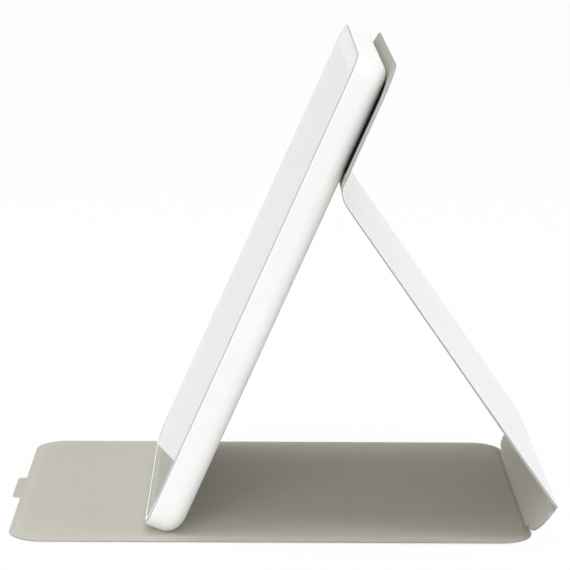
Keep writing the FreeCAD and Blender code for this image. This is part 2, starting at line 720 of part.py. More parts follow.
def make_controls():
    """Control board with its socket, switch, button, light pipe, pins and screws."""
    board = plate(
        [
            (CONTROL_LEFT, BOARD_FROM_BOTTOM, LEAST_ROUND),
            (CONTROL_RIGHT, BOARD_FROM_BOTTOM, LEAST_ROUND),
            (CONTROL_RIGHT, BOARD_FROM_BOTTOM + BOARD_LENGTH, LEAST_ROUND),
            (CONTROL_LEFT, BOARD_FROM_BOTTOM + BOARD_LENGTH, LEAST_ROUND),
        ],
        CONTROL_BOTTOM,
        CONTROL_TOP,
    )
    switch = box(
        (SWITCH_FRONT + SWITCH_DEPTH / 2, BUTTON_UP, BUTTON_LEVEL),
        (SWITCH_DEPTH, SWITCH_LENGTH, SWITCH_HEIGHT),
    )
    guide_depth = PLUNGER_BURIED + BUTTON_TRAVEL + PLUNGER_PLAY
    guide = box(
        (SWITCH_FRONT + guide_depth / 2, BUTTON_UP, BUTTON_LEVEL),
        (guide_depth, PLUNGER_WIDTH + 2 * PLUNGER_PLAY, PLUNGER_HEIGHT + 2 * PLUNGER_PLAY),
    )
    plunger_length = PLUNGER_STANDOUT + PLUNGER_BURIED
    plunger = box(
        (STEM_END + plunger_length / 2, BUTTON_UP, BUTTON_LEVEL),
        (plunger_length, PLUNGER_WIDTH, PLUNGER_HEIGHT),
    )
    pins = [
        rod((x, y, CONTROL_TOP), (0, 0, 1), PIN_DIAMETER / 2, PLATE_TOP - CONTROL_TOP)
        for x, y in pin_spots()
    ]
    return {
        "control_board": board.cut(screw_holes(board_screw_spots(), CONTROL_BOTTOM, CONTROL_TOP)),
        "charging_socket": make_socket(),
        "tact_switch": switch.cut(guide),
        "switch_plunger": plunger,
        "power_button": make_button(),
        "indicator_light_pipe": rod(
            (LEFT, LIGHT_PIPE_UP, BUTTON_LEVEL),
            (1, 0, 0),
            LIGHT_PIPE_DIAMETER / 2,
            LIGHT_PIPE_LENGTH,
        ),
        "board_link_pins": Part.makeCompound(pins),
        "board_screws": board_screws(),
    }


def board_screws():
    """Short screws that hold the control board on its two bosses."""
    shapes = screws(board_screw_spots(), CONTROL_TOP)
    trim = [
        rod((x, y, CONTROL_BOTTOM - BOARD_STANDOFF), (0, 0, -1), SCREW_HEAD_DIAMETER / 2, SCREW_LENGTH)
        for x, y in board_screw_spots()
    ]
    return Part.makeCompound([solid.cut(trim) for solid in shapes.Solids])


def make_mirror():
    """All pieces of the mirror unit, and the bond that holds it to the back panel."""
    pieces = {"back_shell": make_tray()}
    pieces.update(make_glass())
    pieces.update(make_light())
    pieces.update(make_battery())
    pieces.update(make_controls())
    magnets = [
        box(spot, (MAGNET_LENGTH, MAGNET_SIDE, MAGNET_SIDE))
        for spot in magnet_spots()
    ]
    pieces["foot_magnets"] = Part.makeCompound(magnets)
    bond_low = FOLD_HEIGHT + WIDE_FOLD + BACK_BOND_INSET
    bond_high = MIRROR_HEIGHT - BACK_ROUND - BACK_BOND_INSET
    bond_half = MIRROR_WIDTH / 2 - BACK_ROUND - BACK_BOND_INSET
    pieces["back_bond"] = plate(
        rectangle(bond_half, bond_low, bond_high, LEAST_ROUND, LEAST_ROUND),
        -MIRROR_DEPTH - BACK_BOND,
        -MIRROR_DEPTH,
    )
    return pieces


def placed(pieces, place):
    """Pieces moved from their own flat frame to where they stand."""
    return {name: shape.transformed(place.toMatrix()) for name, shape in pieces.items()}


def build():
    """Every node of the part, standing on the origin plane and centred on the origin."""
    nodes = {}
    nodes.update(placed(make_base(), PLACES["base"]))
    nodes.update(placed(make_spine(), PLACES["spine"]))
    nodes.update(placed(make_support(), PLACES["support"]))
    nodes.update(placed(make_back_panel(), PLACES["back_panel"]))
    nodes.update(placed(make_mirror(), PLACES["mirror"]))
    nodes.update(make_folds())
    extent = Part.makeCompound(list(nodes.values())).optimalBoundingBox(False, False)
    shift = Vector(0, -(extent.YMin + extent.YMax) / 2, 0)
    for shape in nodes.values():
        shape.translate(shift)
    return nodes, shift


nodes, shift = build()
os.makedirs("parts", exist_ok=True)
for name, shape in nodes.items():
    shape.exportStep("parts/" + name + ".step")

for name, point in (("rear", REAR_FOLD), ("lower", LOWER_FOLD), ("upper", UPPER_FOLD)):
    print(name, "fold axis", point + shift)
angles = [math.degrees(angle) for angle in (SPINE_ANGLE, SUPPORT_ANGLE, MIRROR_LEAN)]
print("spine, support and mirror angles", angles)
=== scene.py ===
"""Looks of the folding lighted mirror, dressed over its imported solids.

Metres in the row frame: +Z up, the mirror faces -Y, X runs across its width. Sizes in the
classes are millimetres and are turned to metres once, where a mesh is made.
"""
import json
import logging
import math
from dataclasses import dataclass, field, replace
from enum import Enum
from typing import Sequence

import bmesh
import bpy
from mathutils import Matrix, Vector


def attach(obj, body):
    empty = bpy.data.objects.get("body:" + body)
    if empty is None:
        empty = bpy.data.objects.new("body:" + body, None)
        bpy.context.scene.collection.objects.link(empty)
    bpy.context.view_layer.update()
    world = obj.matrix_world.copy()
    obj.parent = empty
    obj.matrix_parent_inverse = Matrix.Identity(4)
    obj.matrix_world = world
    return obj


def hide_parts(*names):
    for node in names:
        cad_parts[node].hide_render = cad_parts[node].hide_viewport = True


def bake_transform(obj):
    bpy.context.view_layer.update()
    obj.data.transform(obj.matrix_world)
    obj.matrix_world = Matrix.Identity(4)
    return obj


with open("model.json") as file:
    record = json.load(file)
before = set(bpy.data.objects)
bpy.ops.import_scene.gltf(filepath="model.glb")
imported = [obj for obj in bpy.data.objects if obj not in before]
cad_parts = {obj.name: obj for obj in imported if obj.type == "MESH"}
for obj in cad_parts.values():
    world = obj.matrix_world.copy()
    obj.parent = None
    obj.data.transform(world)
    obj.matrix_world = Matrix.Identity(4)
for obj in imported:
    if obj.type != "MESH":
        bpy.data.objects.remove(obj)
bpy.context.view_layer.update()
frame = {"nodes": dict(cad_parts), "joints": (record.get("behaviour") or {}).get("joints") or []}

LOG = logging.getLogger("folding_mirror")
MM = 0.001
QUARTER = math.pi / 2
SHEET_PLACE = "sheet_place"
CORNER_STEPS = 12
LEAST_MITRE = 0.3
TONE_ENDS = (0.3, 0.7)
FLAT_WEIGHT = 100
JOINTS = {joint["name"]: joint for joint in frame["joints"]}
# Points are kept in single precision, so one that is this near to a line, in millimetres, is on it.
ON_LINE = 1e-4

Spot = tuple[float, float, float]
Corner = tuple[float, float, float]
Point = tuple[float, float]
Profile = Sequence[Point]
Loop = list[bmesh.types.BMVert]
Tree = bpy.types.NodeTree
Socket = bpy.types.NodeSocket
Thing = bpy.types.Object


class Body(Enum):
    """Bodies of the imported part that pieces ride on."""

    BASE = "base"
    SPINE = "spine"
    SUPPORT = "support"
    MIRROR = "mirror"


class Texture(Enum):
    """Procedural textures that the finishes draw with, and the output each is read from."""

    CLOUDS = ("ShaderNodeTexNoise", "Fac")
    CELLS = ("ShaderNodeTexVoronoi", "Distance")


class Layer(Enum):
    """The two faces of the cover sheet."""

    SKIN = "skin"
    LINING = "lining"


# Small shared tools
def linear(code: str) -> tuple[float, float, float, float]:
    """Turn an sRGB hex colour into a linear one, by the curve of the sRGB standard.

    Args:
        code: Six hex digits, red, green and blue.

    Returns:
        Linear red, green, blue and a full alpha.
    """
    parts = [int(code[i : i + 2], 16) / 255 for i in (0, 2, 4)]
    red, green, blue = [p / 12.92 if p <= 0.04045 else ((p + 0.055) / 1.055) ** 2.4 for p in parts]
    return (red, green, blue, 1.0)


def add_node(tree: Tree, kind: str, feeds: dict | None = None, **settings) -> bpy.types.Node:
    """Add one node with its settings, its constants and its links.

    Args:
        tree: Node tree that takes the node.
        kind: Blender's name of the node.
        feeds: Input name or number, with the output linked to it or the constant set on it.
        settings: Attributes of the node.

    Returns:
        The new node.
    """
    node = tree.nodes.new(kind)
    for name, value in settings.items():
        setattr(node, name, value)
    for name, value in (feeds or {}).items():
        if isinstance(value, Socket):
            tree.links.new(value, node.inputs[name])
        else:
            node.inputs[name].default_value = value
    return node


def empty_tree(owner: bpy.types.Material | bpy.types.World) -> Tree:
    """Turn on the nodes of a material or a world and clear them.

    Args:
        owner: The material or the world.

    Returns:
        Its node tree, with nothing in it.
    """
    owner.use_nodes = True
    owner.node_tree.nodes.clear()
    return owner.node_tree


def add_object(name: str, data: bpy.types.ID) -> Thing:
    """Put a new object into the scene.

    Args:
        name: Name of the object.
        data: Its mesh, lamp or camera.

    Returns:
        The object, at the origin.
    """
    made = bpy.data.objects.new(name, data)
    bpy.context.scene.collection.objects.link(made)
    return made


def along(angle: float, length: float) -> Vector:
    """Step of a length in the direction of an angle above +Y."""
    return Vector((0.0, math.cos(angle), math.sin(angle))) * length


def turned(origin: Vector, angle: float) -> Matrix:
    """From a flat frame to the row frame: turned about X and moved to its origin."""
    return Matrix.Translation(origin) @ Matrix.Rotation(angle, 4, "X")


def eased(share: float) -> float:
    """Share of a rise that leaves one level and reaches the next without a kink."""
    return share * share * (3 - 2 * share)


def joint_axis(name: str) -> Vector:
    """A point on a joint's axis at rest, in millimetres."""
    return Vector(JOINTS[name]["pos_m"]) / MM


def joint_turn(name: str) -> float:
    """How far a joint turns from rest to lying flat, in radians."""
    return math.radians(JOINTS[name]["range_deg"][1])


# Finishes
@dataclass(frozen=True)
class Pattern:
    """A procedural pattern with the real size of its features."""

    size_mm: float
    texture: Texture = Texture.CLOUDS
    stretch: Spot = (1.0, 1.0, 1.0)
    detail: float = 3.0

    def draw(self, tree: Tree, place: Socket) -> Socket:
        """Add the pattern's nodes.

        Args:
            tree: Node tree of the material.
            place: Coordinates in metres.

        Returns:
            Output that runs from about 0 to about 1 over the pattern.
        """
        kind, output = self.texture.value
        scale = tuple(1 / s for s in self.stretch)
        mapping = add_node(tree, "ShaderNodeMapping", {"Vector": place, "Scale": scale})
        feeds = {"Vector": mapping.outputs["Vector"], "Scale": 1 / (self.size_mm * MM)}
        feeds["Detail"] = self.detail
        return add_node(tree, kind, feeds).outputs[output]


@dataclass(frozen=True)
class Finish:
    """A surface: two near colours, roughness that varies with them, and a relief.

    One with no shade has one colour all over, and one with no relief is polished.
    """

    name: str
    slot: str
    colour: str
    roughness: Point
    mottle: Pattern
    shade: str = ""
    relief: Pattern | None = None
    relief_mm: float = 0.0
    fixed: tuple[tuple[str, float], ...] = ()
    on_sheet: bool = False

    def material(self) -> bpy.types.Material:
        """Build the material, or find the one already built.

        Returns:
            The finish as a node material.
        """
        found = bpy.data.materials.get(self.name)
        if found:
            return found
        material = bpy.data.materials.new(self.name)
        tree = empty_tree(material)
        if self.on_sheet:
            place = add_node(tree, "ShaderNodeAttribute", attribute_name=SHEET_PLACE).outputs["Vector"]
        else:
            place = add_node(tree, "ShaderNodeTexCoord").outputs["Object"]
        tone = self.mottle.draw(tree, place)
        gloss = {"Value": tone, "To Min": self.roughness[0], "To Max": self.roughness[1]}
        rough = add_node(tree, "ShaderNodeMapRange", gloss)
        feeds = {"Base Color": linear(self.colour), "Roughness": rough.outputs["Result"]}
        if self.shade:
            ramp = add_node(tree, "ShaderNodeValToRGB", {"Fac": tone})
            ends = zip(ramp.color_ramp.elements, TONE_ENDS, (self.shade, self.colour))
            for end, position, code in ends:
                end.position = position
                end.color = linear(code)
            feeds["Base Color"] = ramp.outputs["Color"]
        if self.relief:
            height = self.relief.draw(tree, place)
            bump = add_node(tree, "ShaderNodeBump", {"Height": height, "Distance": self.relief_mm * MM})
            feeds["Normal"] = bump.outputs["Normal"]
        feeds.update(self.fixed)
        shader = add_node(tree, "ShaderNodeBsdfPrincipled", feeds)
        add_node(tree, "ShaderNodeOutputMaterial", {"Surface": shader.outputs["BSDF"]})
        return material


METAL = (("Metallic", 1.0),)

# Polyurethane-coated sheet, rolled and embossed: near white, a satin sheen broken by a pebble
# grain. Real grain is about 0.4 mm and is drawn at 0.9 mm so that it shows.
COATED_SHEET = Finish(
    name="polyurethane_coated_sheet", slot="cover_skin",
    colour="F4F4F5", shade="F0F0F2", roughness=(0.42, 0.52), mottle=Pattern(14.0),
    relief=Pattern(0.9, Texture.CELLS, detail=0.0), relief_mm=0.035,
    fixed=(("Specular IOR Level", 0.4),),
)

# Microfibre suede, brushed along the sheet: matt, with soft streaks where the nap lies over.
# Single fibres are too fine to show, so the streaks are drawn 2.5 mm wide.
BRUSHED_MICROFIBRE = Finish(
    name="brushed_microfibre_suede", slot="cover_lining",
    colour="C5C3B7", shade="C1BFB3", roughness=(0.82, 0.92),
    mottle=Pattern(2.5, stretch=(1.0, 4.0, 1.0), detail=5.0),
    relief=Pattern(0.5, stretch=(1.0, 2.5, 1.0), detail=2.0), relief_mm=0.03,
    fixed=(("Sheen Weight", 0.12), ("Sheen Roughness", 0.45), ("Specular IOR Level", 0.2)),
    on_sheet=True,
)

# The same suede on the panel that is glued to the tray, with no sheen, a little greyer and darker:
# the darkness is painted shade of the recess behind the tray.
PAINTED_SHADE_MICROFIBRE = replace(
    BRUSHED_MICROFIBRE, name="painted_shade_microfibre_suede",
    colour="BABAB2", shade="B4B4AC", roughness=(0.75, 0.85), relief_mm=0.02,
    fixed=(("Specular IOR Level", 0.2),),
)

# Cut edge of the laminate, sealed with matt edge dye: a grey line round each panel, a little
# uneven where the dye soaked in.
DYED_CUT_EDGE = Finish(
    name="dyed_laminate_edge", slot="cover_lining",
    colour="A3A2A5", shade="9C9B9E", roughness=(0.6, 0.7), mottle=Pattern(4.0),
    relief=Pattern(0.5), relief_mm=0.01,
)

# Grey board, pulped and rolled: matt with flecks of fibre.
GREY_BOARD = Finish(
    name="grey_board", slot="cover_board",
    colour="9C9484", shade="857D6F", roughness=(0.85, 0.95),
    mottle=Pattern(1.5, stretch=(1.0, 3.0, 1.0), detail=6.0), relief=Pattern(0.6), relief_mm=0.02,
)

# ABS, injection moulded in a finely spark-eroded tool: white, even, satin, with a slight
# waviness over a few centimetres. Real sparking is 0.1 mm and is drawn at 0.5 mm.
MOULDED_ABS = Finish(
    name="moulded_white_abs", slot="tray_plastic",
    colour="F6F6F5", shade="F3F3F2", roughness=(0.4, 0.48), mottle=Pattern(35.0),
    relief=Pattern(0.5, detail=1.0), relief_mm=0.008, fixed=(("IOR", 1.52),),
)

# The button is moulded in the same plastic and polished, so it looks a little brighter.
POLISHED_ABS = replace(
    MOULDED_ABS, name="polished_white_abs", slot="button_plastic",
    colour="F3F3F2", shade="EDEDEC", roughness=(0.18, 0.24), mottle=Pattern(6.0), relief_mm=0.003,
)

# Polycarbonate, moulded white for the light box: even and matt.
WHITE_POLYCARBONATE = Finish(
    name="moulded_white_polycarbonate", slot="chassis_plastic",
    colour="ECECEA", shade="E6E6E3", roughness=(0.45, 0.55), mottle=Pattern(20.0),
    relief=Pattern(0.6, detail=1.0), relief_mm=0.008, fixed=(("IOR", 1.58),),
)

# Opal acrylic, cast and sanded: milk white, light soaks a little way in.
OPAL_ACRYLIC = Finish(
    name="sanded_opal_acrylic", slot="opal_acrylic",
    colour="F0F1F1", shade="ECEDED", roughness=(0.5, 0.6), mottle=Pattern(12.0),
    relief=Pattern(0.5, detail=1.0), relief_mm=0.006,
    fixed=(("IOR", 1.49), ("Subsurface Weight", 0.25), ("Subsurface Scale", 0.002)),
)

# Ground edge of float glass: a frosted bluish grey band where the sheet was seamed.
GROUND_GLASS_EDGE = Finish(
    name="ground_float_glass_edge", slot="sheet_glass",
    colour="C6CBCD", shade="BEC4C6", roughness=(0.45, 0.55), mottle=Pattern(5.0),
    relief=Pattern(0.5, detail=1.0), relief_mm=0.006, fixed=(("IOR", 1.52),),
)

# Lower border of the glass, ground and left frosted: nearly white, since it scatters what falls
# on it.
FROSTED_GLASS_BORDER = replace(
    GROUND_GLASS_EDGE, name="frosted_float_glass_border",
    colour="F8F9F9", shade="F4F6F6", roughness=(0.6, 0.7), relief_mm=0.004,
    fixed=(("IOR", 1.52), ("Specular IOR Level", 0.3)),
)

# Acrylic foam tape: chalky white, soft.
FOAM_TAPE = Finish(
    name="acrylic_foam_tape", slot="bond_tape",
    colour="E4E1D8", shade="D8D5CA", roughness=(0.7, 0.8), mottle=Pattern(3.0),
    relief=Pattern(0.6), relief_mm=0.02,
)

# Polyethylene foam tape between the tray and the back panel: black and matt. The same black, laid in
# strips on the back panel beside the tray, is painted shade of the recess, so the joint reads as a dark
# line.
BLACK_TAPE_AND_PAINTED_SHADE = replace(
    FOAM_TAPE, name="black_foam_tape_and_painted_shade",
    colour="38383A", shade="2E2E30", roughness=(0.75, 0.85), mottle=Pattern(2.0),
)

# Cold-rolled steel strip, zinc plated: grey, with drawn streaks along its length.
ROLLED_STEEL = Finish(
    name="zinc_plated_rolled_steel", slot="keeper_steel",
    colour="B4B8BB", shade="A3A8AC", roughness=(0.3, 0.42),
    mottle=Pattern(1.2, stretch=(8.0, 1.0, 1.0)),
    relief=Pattern(0.6, stretch=(8.0, 1.0, 1.0)), relief_mm=0.004, fixed=METAL,
)

# Screw steel, turned and nickel plated: bright grey with fine turning haze.
SCREW_STEEL = Finish(
    name="nickel_plated_screw_steel", slot="screw_steel",
    colour="C3C6C8", shade="AEB2B5", roughness=(0.22, 0.34), mottle=Pattern(0.8),
    relief=Pattern(0.5), relief_mm=0.004, fixed=METAL,
)

# Socket shell, drawn from steel sheet and bright plated: smooth, with faint lines of the draw.
DRAWN_STEEL = Finish(
    name="bright_plated_drawn_steel", slot="socket_steel",
    colour="CFD1D2", shade="BEC1C3", roughness=(0.16, 0.26),
    mottle=Pattern(1.0, stretch=(4.0, 1.0, 1.0)),
    relief=Pattern(0.5, stretch=(4.0, 1.0, 1.0)), relief_mm=0.003, fixed=METAL,
)

# Sintered magnet, nickel plated: bright metal with a fine orange-peel surface.
PLATED_MAGNET = Finish(
    name="nickel_plated_magnet", slot="magnet_nickel",
    colour="C4C3BE", shade="B3B2AC", roughness=(0.18, 0.28), mottle=Pattern(2.0),
    relief=Pattern(0.7), relief_mm=0.006, fixed=METAL,
)

# Brass pins and contacts with a gold flash: warm yellow metal.
GOLD_FLASHED_BRASS = Finish(
    name="gold_flashed_brass", slot="pin_brass",
    colour="D9B660", shade="C8A24C", roughness=(0.2, 0.3), mottle=Pattern(0.8),
    relief=Pattern(0.5), relief_mm=0.003, fixed=METAL,
)

# Solder resist on glass-fibre board, printed: the light ring is white, the control board green.
WHITE_RESIST = Finish(
    name="white_solder_resist", slot="circuit_board",
    colour="EFEFEC", shade="E3E4E0", roughness=(0.3, 0.4),
    mottle=Pattern(3.0, Texture.CELLS, detail=0.0),
    relief=Pattern(1.2, Texture.CELLS, detail=0.0), relief_mm=0.01,
)
GREEN_RESIST = replace(
    WHITE_RESIST, name="green_solder_resist",
    colour="2B7350", shade="1B5238", roughness=(0.25, 0.38),
    mottle=Pattern(2.5, Texture.CELLS, detail=0.0), relief_mm=0.015,
)

# Light-emitting diode: a ceramic-white package round a yellow phosphor window.
LED_PACKAGE = Finish(
    name="white_led_package", slot="led_package",
    colour="F0EEE8", shade="E5E2DA", roughness=(0.4, 0.5), mottle=Pattern(1.0),
    relief=Pattern(0.5), relief_mm=0.005,
)
LED_PHOSPHOR = replace(
    LED_PACKAGE, name="yellow_led_phosphor",
    colour="EDD070", shade="E0BD4E", roughness=(0.25, 0.35), mottle=Pattern(0.6),
)

# Aluminium laminate of the battery pouch, pressed: dull silver with soft wrinkles.
POUCH_FOIL = Finish(
    name="pressed_pouch_foil", slot="battery_foil",
    colour="C9CBCD", shade="B5B8BB", roughness=(0.3, 0.45), mottle=Pattern(9.0),
    relief=Pattern(7.0, detail=5.0), relief_mm=0.15, fixed=(("Metallic", 0.9),),
)

# Plasticised PVC sleeve of the battery leads, extruded: red, slightly waxy.
LEAD_SLEEVE = Finish(
    name="extruded_pvc_sleeve", slot="lead_sleeve",
    colour="A33228", shade="8E281F", roughness=(0.35, 0.45),
    mottle=Pattern(2.0, stretch=(4.0, 1.0, 1.0)),
    relief=Pattern(0.5, stretch=(4.0, 1.0, 1.0)), relief_mm=0.005,
)

# Glass-filled nylon of the switch and the socket's tongue, moulded: black with a dry sheen.
BLACK_NYLON = Finish(
    name="moulded_black_nylon", slot="switch_plastic",
    colour="2A2B2D", shade="1F2022", roughness=(0.45, 0.58), mottle=Pattern(0.8),
    relief=Pattern(0.5), relief_mm=0.01,
)

# Float glass: clear, very slightly green, polished by the melt, with the faintest haze.
FLOAT_GLASS = Finish(
    name="clear_float_glass", slot="sheet_glass",
    colour="FEFFFE", roughness=(0.0, 0.006), mottle=Pattern(40.0),
    fixed=(("IOR", 1.52), ("Transmission Weight", 1.0)),
)

# Silver on the back of the glass, deposited wet: a true mirror with a few percent lost.
MIRROR_SILVER = Finish(
    name="deposited_mirror_silver", slot="silvering",
    colour="FBFBFB", roughness=(0.0, 0.008), mottle=Pattern(60.0), fixed=METAL,
)

# Polycarbonate of the light pipe, moulded: clear, with a light haze from the tool.
CLEAR_POLYCARBONATE = Finish(
    name="clear_moulded_polycarbonate", slot="clear_plastic",
    colour="F4F7F7", roughness=(0.08, 0.16), mottle=Pattern(1.0),
    fixed=(("IOR", 1.58), ("Transmission Weight", 0.85)),
)


# Mesh tools
def rounded_outline(corners: Sequence[Corner]) -> list[Point]:
    """Points along a closed outline, each corner rounded by its own radius.

    Args:
        corners: Corners in order, each with its radius.

    Returns:
        Points in the same order, one for a sharp corner and an arc for a round one.
    """
    spots = [Vector((x, y)) for x, y, _ in corners]
    points: list[Point] = []
    for i, (_, _, radius) in enumerate(corners):
        here = spots[i]
        if radius <= 0:
            points.append(tuple(here))
            continue
        back = (spots[i - 1] - here).normalized()
        ahead = (spots[(i + 1) % len(spots)] - here).normalized()
        half = back.angle(ahead) / 2
        centre = here + (back + ahead).normalized() * (radius / math.sin(half))
        start = here + back * (radius / math.tan(half)) - centre
        end = here + ahead * (radius / math.tan(half)) - centre
        sweep = math.pi - 2 * half
        for step in range(CORNER_STEPS + 1):
            share = step / CORNER_STEPS
            arm = start * math.sin(sweep * (1 - share)) + end * math.sin(sweep * share)
            points.append(tuple(centre + arm / math.sin(sweep)))
    return points


def box_corners(half: float, low: float, high: float, rounds: Point) -> list[Corner]:
    """Corners of a rectangle that is centred across.

    Args:
        half: Half of its width.
        low: Where it begins along Y.
        high: Where it ends along Y.
        rounds: Radius of its low and of its high corners.

    Returns:
        The four corners with their radii, anticlockwise.
    """
    low_round, high_round = rounds
    corners = [(-half, low, low_round), (half, low, low_round)]
    return corners + [(half, high, high_round), (-half, high, high_round)]


def mirrored(corners: list[Corner]) -> list[Corner]:
    """The same corners on the other side of the middle, in the order that goes on round."""
    return [(-x, y, radius) for x, y, radius in reversed(corners)]


def inset_points(points: Sequence[Point], inset: float, kept: Sequence[float] = ()) -> list[Point]:
    """Move a closed outline inwards, but not off the lines where it joins a fold.

    Args:
        points: Outline, anticlockwise.
        inset: How far to move.
        kept: Places along Y that points don't leave.

    Returns:
        The moved points.
    """
    moved = []
    for i, (x, y) in enumerate(points):
        here = Vector((x, y))
        before = (here - Vector(points[i - 1])).normalized()
        after = (Vector(points[(i + 1) % len(points)]) - here).normalized()
        normal = Vector((-before.y - after.y, before.x + after.x)).normalized()
        reach = inset / max(normal.dot(Vector((-before.y, before.x))), LEAST_MITRE)
        shift = normal * reach
        if any(abs(y - line) < ON_LINE for line in kept):
            shift.y = 0.0
        moved.append((x + shift.x, y + shift.y))
    return moved


class Shell:
    """A closed mesh made of loops of points, in millimetres in a flat frame."""

    def __init__(self) -> None:
        """Start with no points."""
        self.mesh = bmesh.new()

    def loop(self, points: Sequence[Point], level: float) -> Loop:
        """Add a closed loop of points at one level."""
        return [self.mesh.verts.new((x, y, level)) for x, y in points]

    def bridge(self, low: Loop, high: Loop, bands: Sequence[int] = (0,)) -> None:
        """Join two loops of as many points by a band of faces.

        Args:
            low: First loop.
            high: Second loop.
            bands: Numbers of the material slots, taken in turn round the band.
        """
        for i, corner in enumerate(low):
            face = self.mesh.faces.new((low[i - 1], corner, high[i], high[i - 1]))
            face.material_index = bands[i % len(bands)]

    def close(self, rim: Loop, rings: Sequence[Loop]) -> None:
        """Close a flat side, with formed rings inside it.

        Args:
            rim: Loop at the edge of the side.
            rings: Loops from the outermost to the innermost, the first level with the rim.
        """
        if rings:
            edges = self.edges(rim) + self.edges(rings[0])
            bmesh.ops.triangle_fill(self.mesh, edges=edges, use_beauty=True)
            for outer, inner in zip(rings, rings[1:]):
                self.bridge(outer, inner)
        self.mesh.faces.new(rings[-1] if rings else rim)

    def edges(self, loop: Loop) -> list[bmesh.types.BMEdge]:
        """Edges round a loop, made where there are none yet."""
        pairs = [(loop[i - 1], corner) for i, corner in enumerate(loop)]
        return [self.mesh.edges.get(pair) or self.mesh.edges.new(pair) for pair in pairs]

    def stack(
        self,
        loops: Sequence[Loop],
        bands: Sequence[int] = (0,),
        low_rings: Sequence[Loop] = (),
        high_rings: Sequence[Loop] = (),
    ) -> None:
        """Bridge loops in their order, and close the first and the last.

        Args:
            loops: Loops of as many points.
            bands: Numbers of the material slots, taken in turn round each band.
            low_rings: Rings formed inside the first loop.
            high_rings: Rings formed inside the last loop.
        """
        for low, high in zip(loops, loops[1:]):
            self.bridge(low, high, bands)
        self.close(loops[0], low_rings)
        self.close(loops[-1], high_rings)

    def piece(
        self,
        name: str,
        place: Matrix,
        finishes: Sequence[Finish],
        path: float = 0.0,
        flat: Sequence[Spot] = (),
    ) -> Thing:
        """Turn the shell into a piece, smooth over its rounds and true on its flats.

        Args:
            name: Name of the piece.
            place: From the flat frame to the row frame, in millimetres.
            finishes: Finish of each material slot.
            path: Distance along the cover sheet at the flat frame's origin.
            flat: Place of each point on the cover sheet, where the shell isn't flat itself.

        Returns:
            The piece, at the origin, with its place in its mesh.
        """
        bmesh.ops.recalc_face_normals(self.mesh, faces=self.mesh.faces)
        flat = flat or [(v.co.x, v.co.y + path, 0.0) for v in self.mesh.verts]
        bmesh.ops.transform(self.mesh, matrix=Matrix.Scale(MM, 4) @ place, verts=self.mesh.verts)
        mesh = bpy.data.meshes.new(name)
        self.mesh.to_mesh(mesh)
        self.mesh.free()
        for finish in finishes:
            mesh.materials.append(finish.material())
        mesh.polygons.foreach_set("use_smooth", [True] * len(mesh.polygons))
        attribute = mesh.attributes.new(SHEET_PLACE, "FLOAT_VECTOR", "POINT")
        attribute.data.foreach_set("vector", [value * MM for spot in flat for value in spot])
        piece = add_object(name, mesh)
        piece.modifiers.new("true_flats", "WEIGHTED_NORMAL").weight = FLAT_WEIGHT
        return settle(piece)


def stacked(
    name: str,
    sections: Sequence[tuple[Sequence[Point], float]],
    place: Matrix,
    finishes: Sequence[Finish],
    bands: Sequence[int] = (0,),
) -> Thing:
    """Make a piece of closed outlines that stand over each other.

    Args:
        name: Name of the piece.
        sections: Outlines of as many points, each with its level.
        place: From the flat frame to the row frame, in millimetres.
        finishes: Finish of each material slot.
        bands: Numbers of the material slots, taken in turn round its sides.

    Returns:
        The piece, at the origin, with its place in its mesh.
    """
    shell = Shell()
    shell.stack([shell.loop(outline, level) for outline, level in sections], bands)
    return shell.piece(name, place, finishes)


def settle(piece: Thing) -> Thing:
    """Turn a piece's modifiers into a plain mesh.

    Args:
        piece: Object with its modifiers set.

    Returns:
        The same object, with none left.
    """
    graph = bpy.context.evaluated_depsgraph_get()
    made = bpy.data.meshes.new_from_object(piece.evaluated_get(graph), depsgraph=graph)
    piece.modifiers.clear()
    piece.data = made
    made.name = piece.name
    return piece


def seat(piece: Thing, body: Body, finish: Finish, *nodes: str) -> None:
    """Ride a piece on its body, in place of the solids that it stands for.

    Args:
        piece: The finished piece.
        body: Body that carries it.
        finish: Not used.
        nodes: Solids that it replaces.
    """
    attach(piece, body.value)
    if nodes:
        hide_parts(*nodes)
    LOG.info("%s rides on %s, %d faces", piece.name, body.value, len(piece.data.polygons))


def dress(finishes: dict[str, Finish]) -> None:
    """Give the solids that stay their finishes.

    Args:
        finishes: Names of the solids with the finish of each.
    """
    for node, finish in finishes.items():
        for slot in frame["nodes"][node].material_slots:
            slot.material = finish.material()
        LOG.info("%s is dressed in %s", node, finish.name)


# Cover
@dataclass(frozen=True)
class Rectangle:
    """A rounded rectangle that is centred across, from low to high along Y.

    The shares say how much of a growth its low and its high side take.
    """

    half: float
    low: float
    high: float
    low_round: float
    high_round: float
    shares: Point = (1.0, 1.0)
    least_round: float = 0.1

    def grown(self, grow: float) -> list[Point]:
        """Outline of the rectangle moved outwards, less towards a fold.

        Args:
            grow: How far to move. Below zero, the rectangle shrinks on all sides alike.

        Returns:
            Points of the outline, anticlockwise.
        """
        low_grow, high_grow = [min(grow, grow * share) for share in self.shares]
        low_round = max(self.low_round + low_grow, self.least_round)
        high_round = max(self.high_round + high_grow, self.least_round)
        low = self.low - low_grow
        high = self.high + high_grow
        return rounded_outline(box_corners(self.half + grow, low, high, (low_round, high_round)))


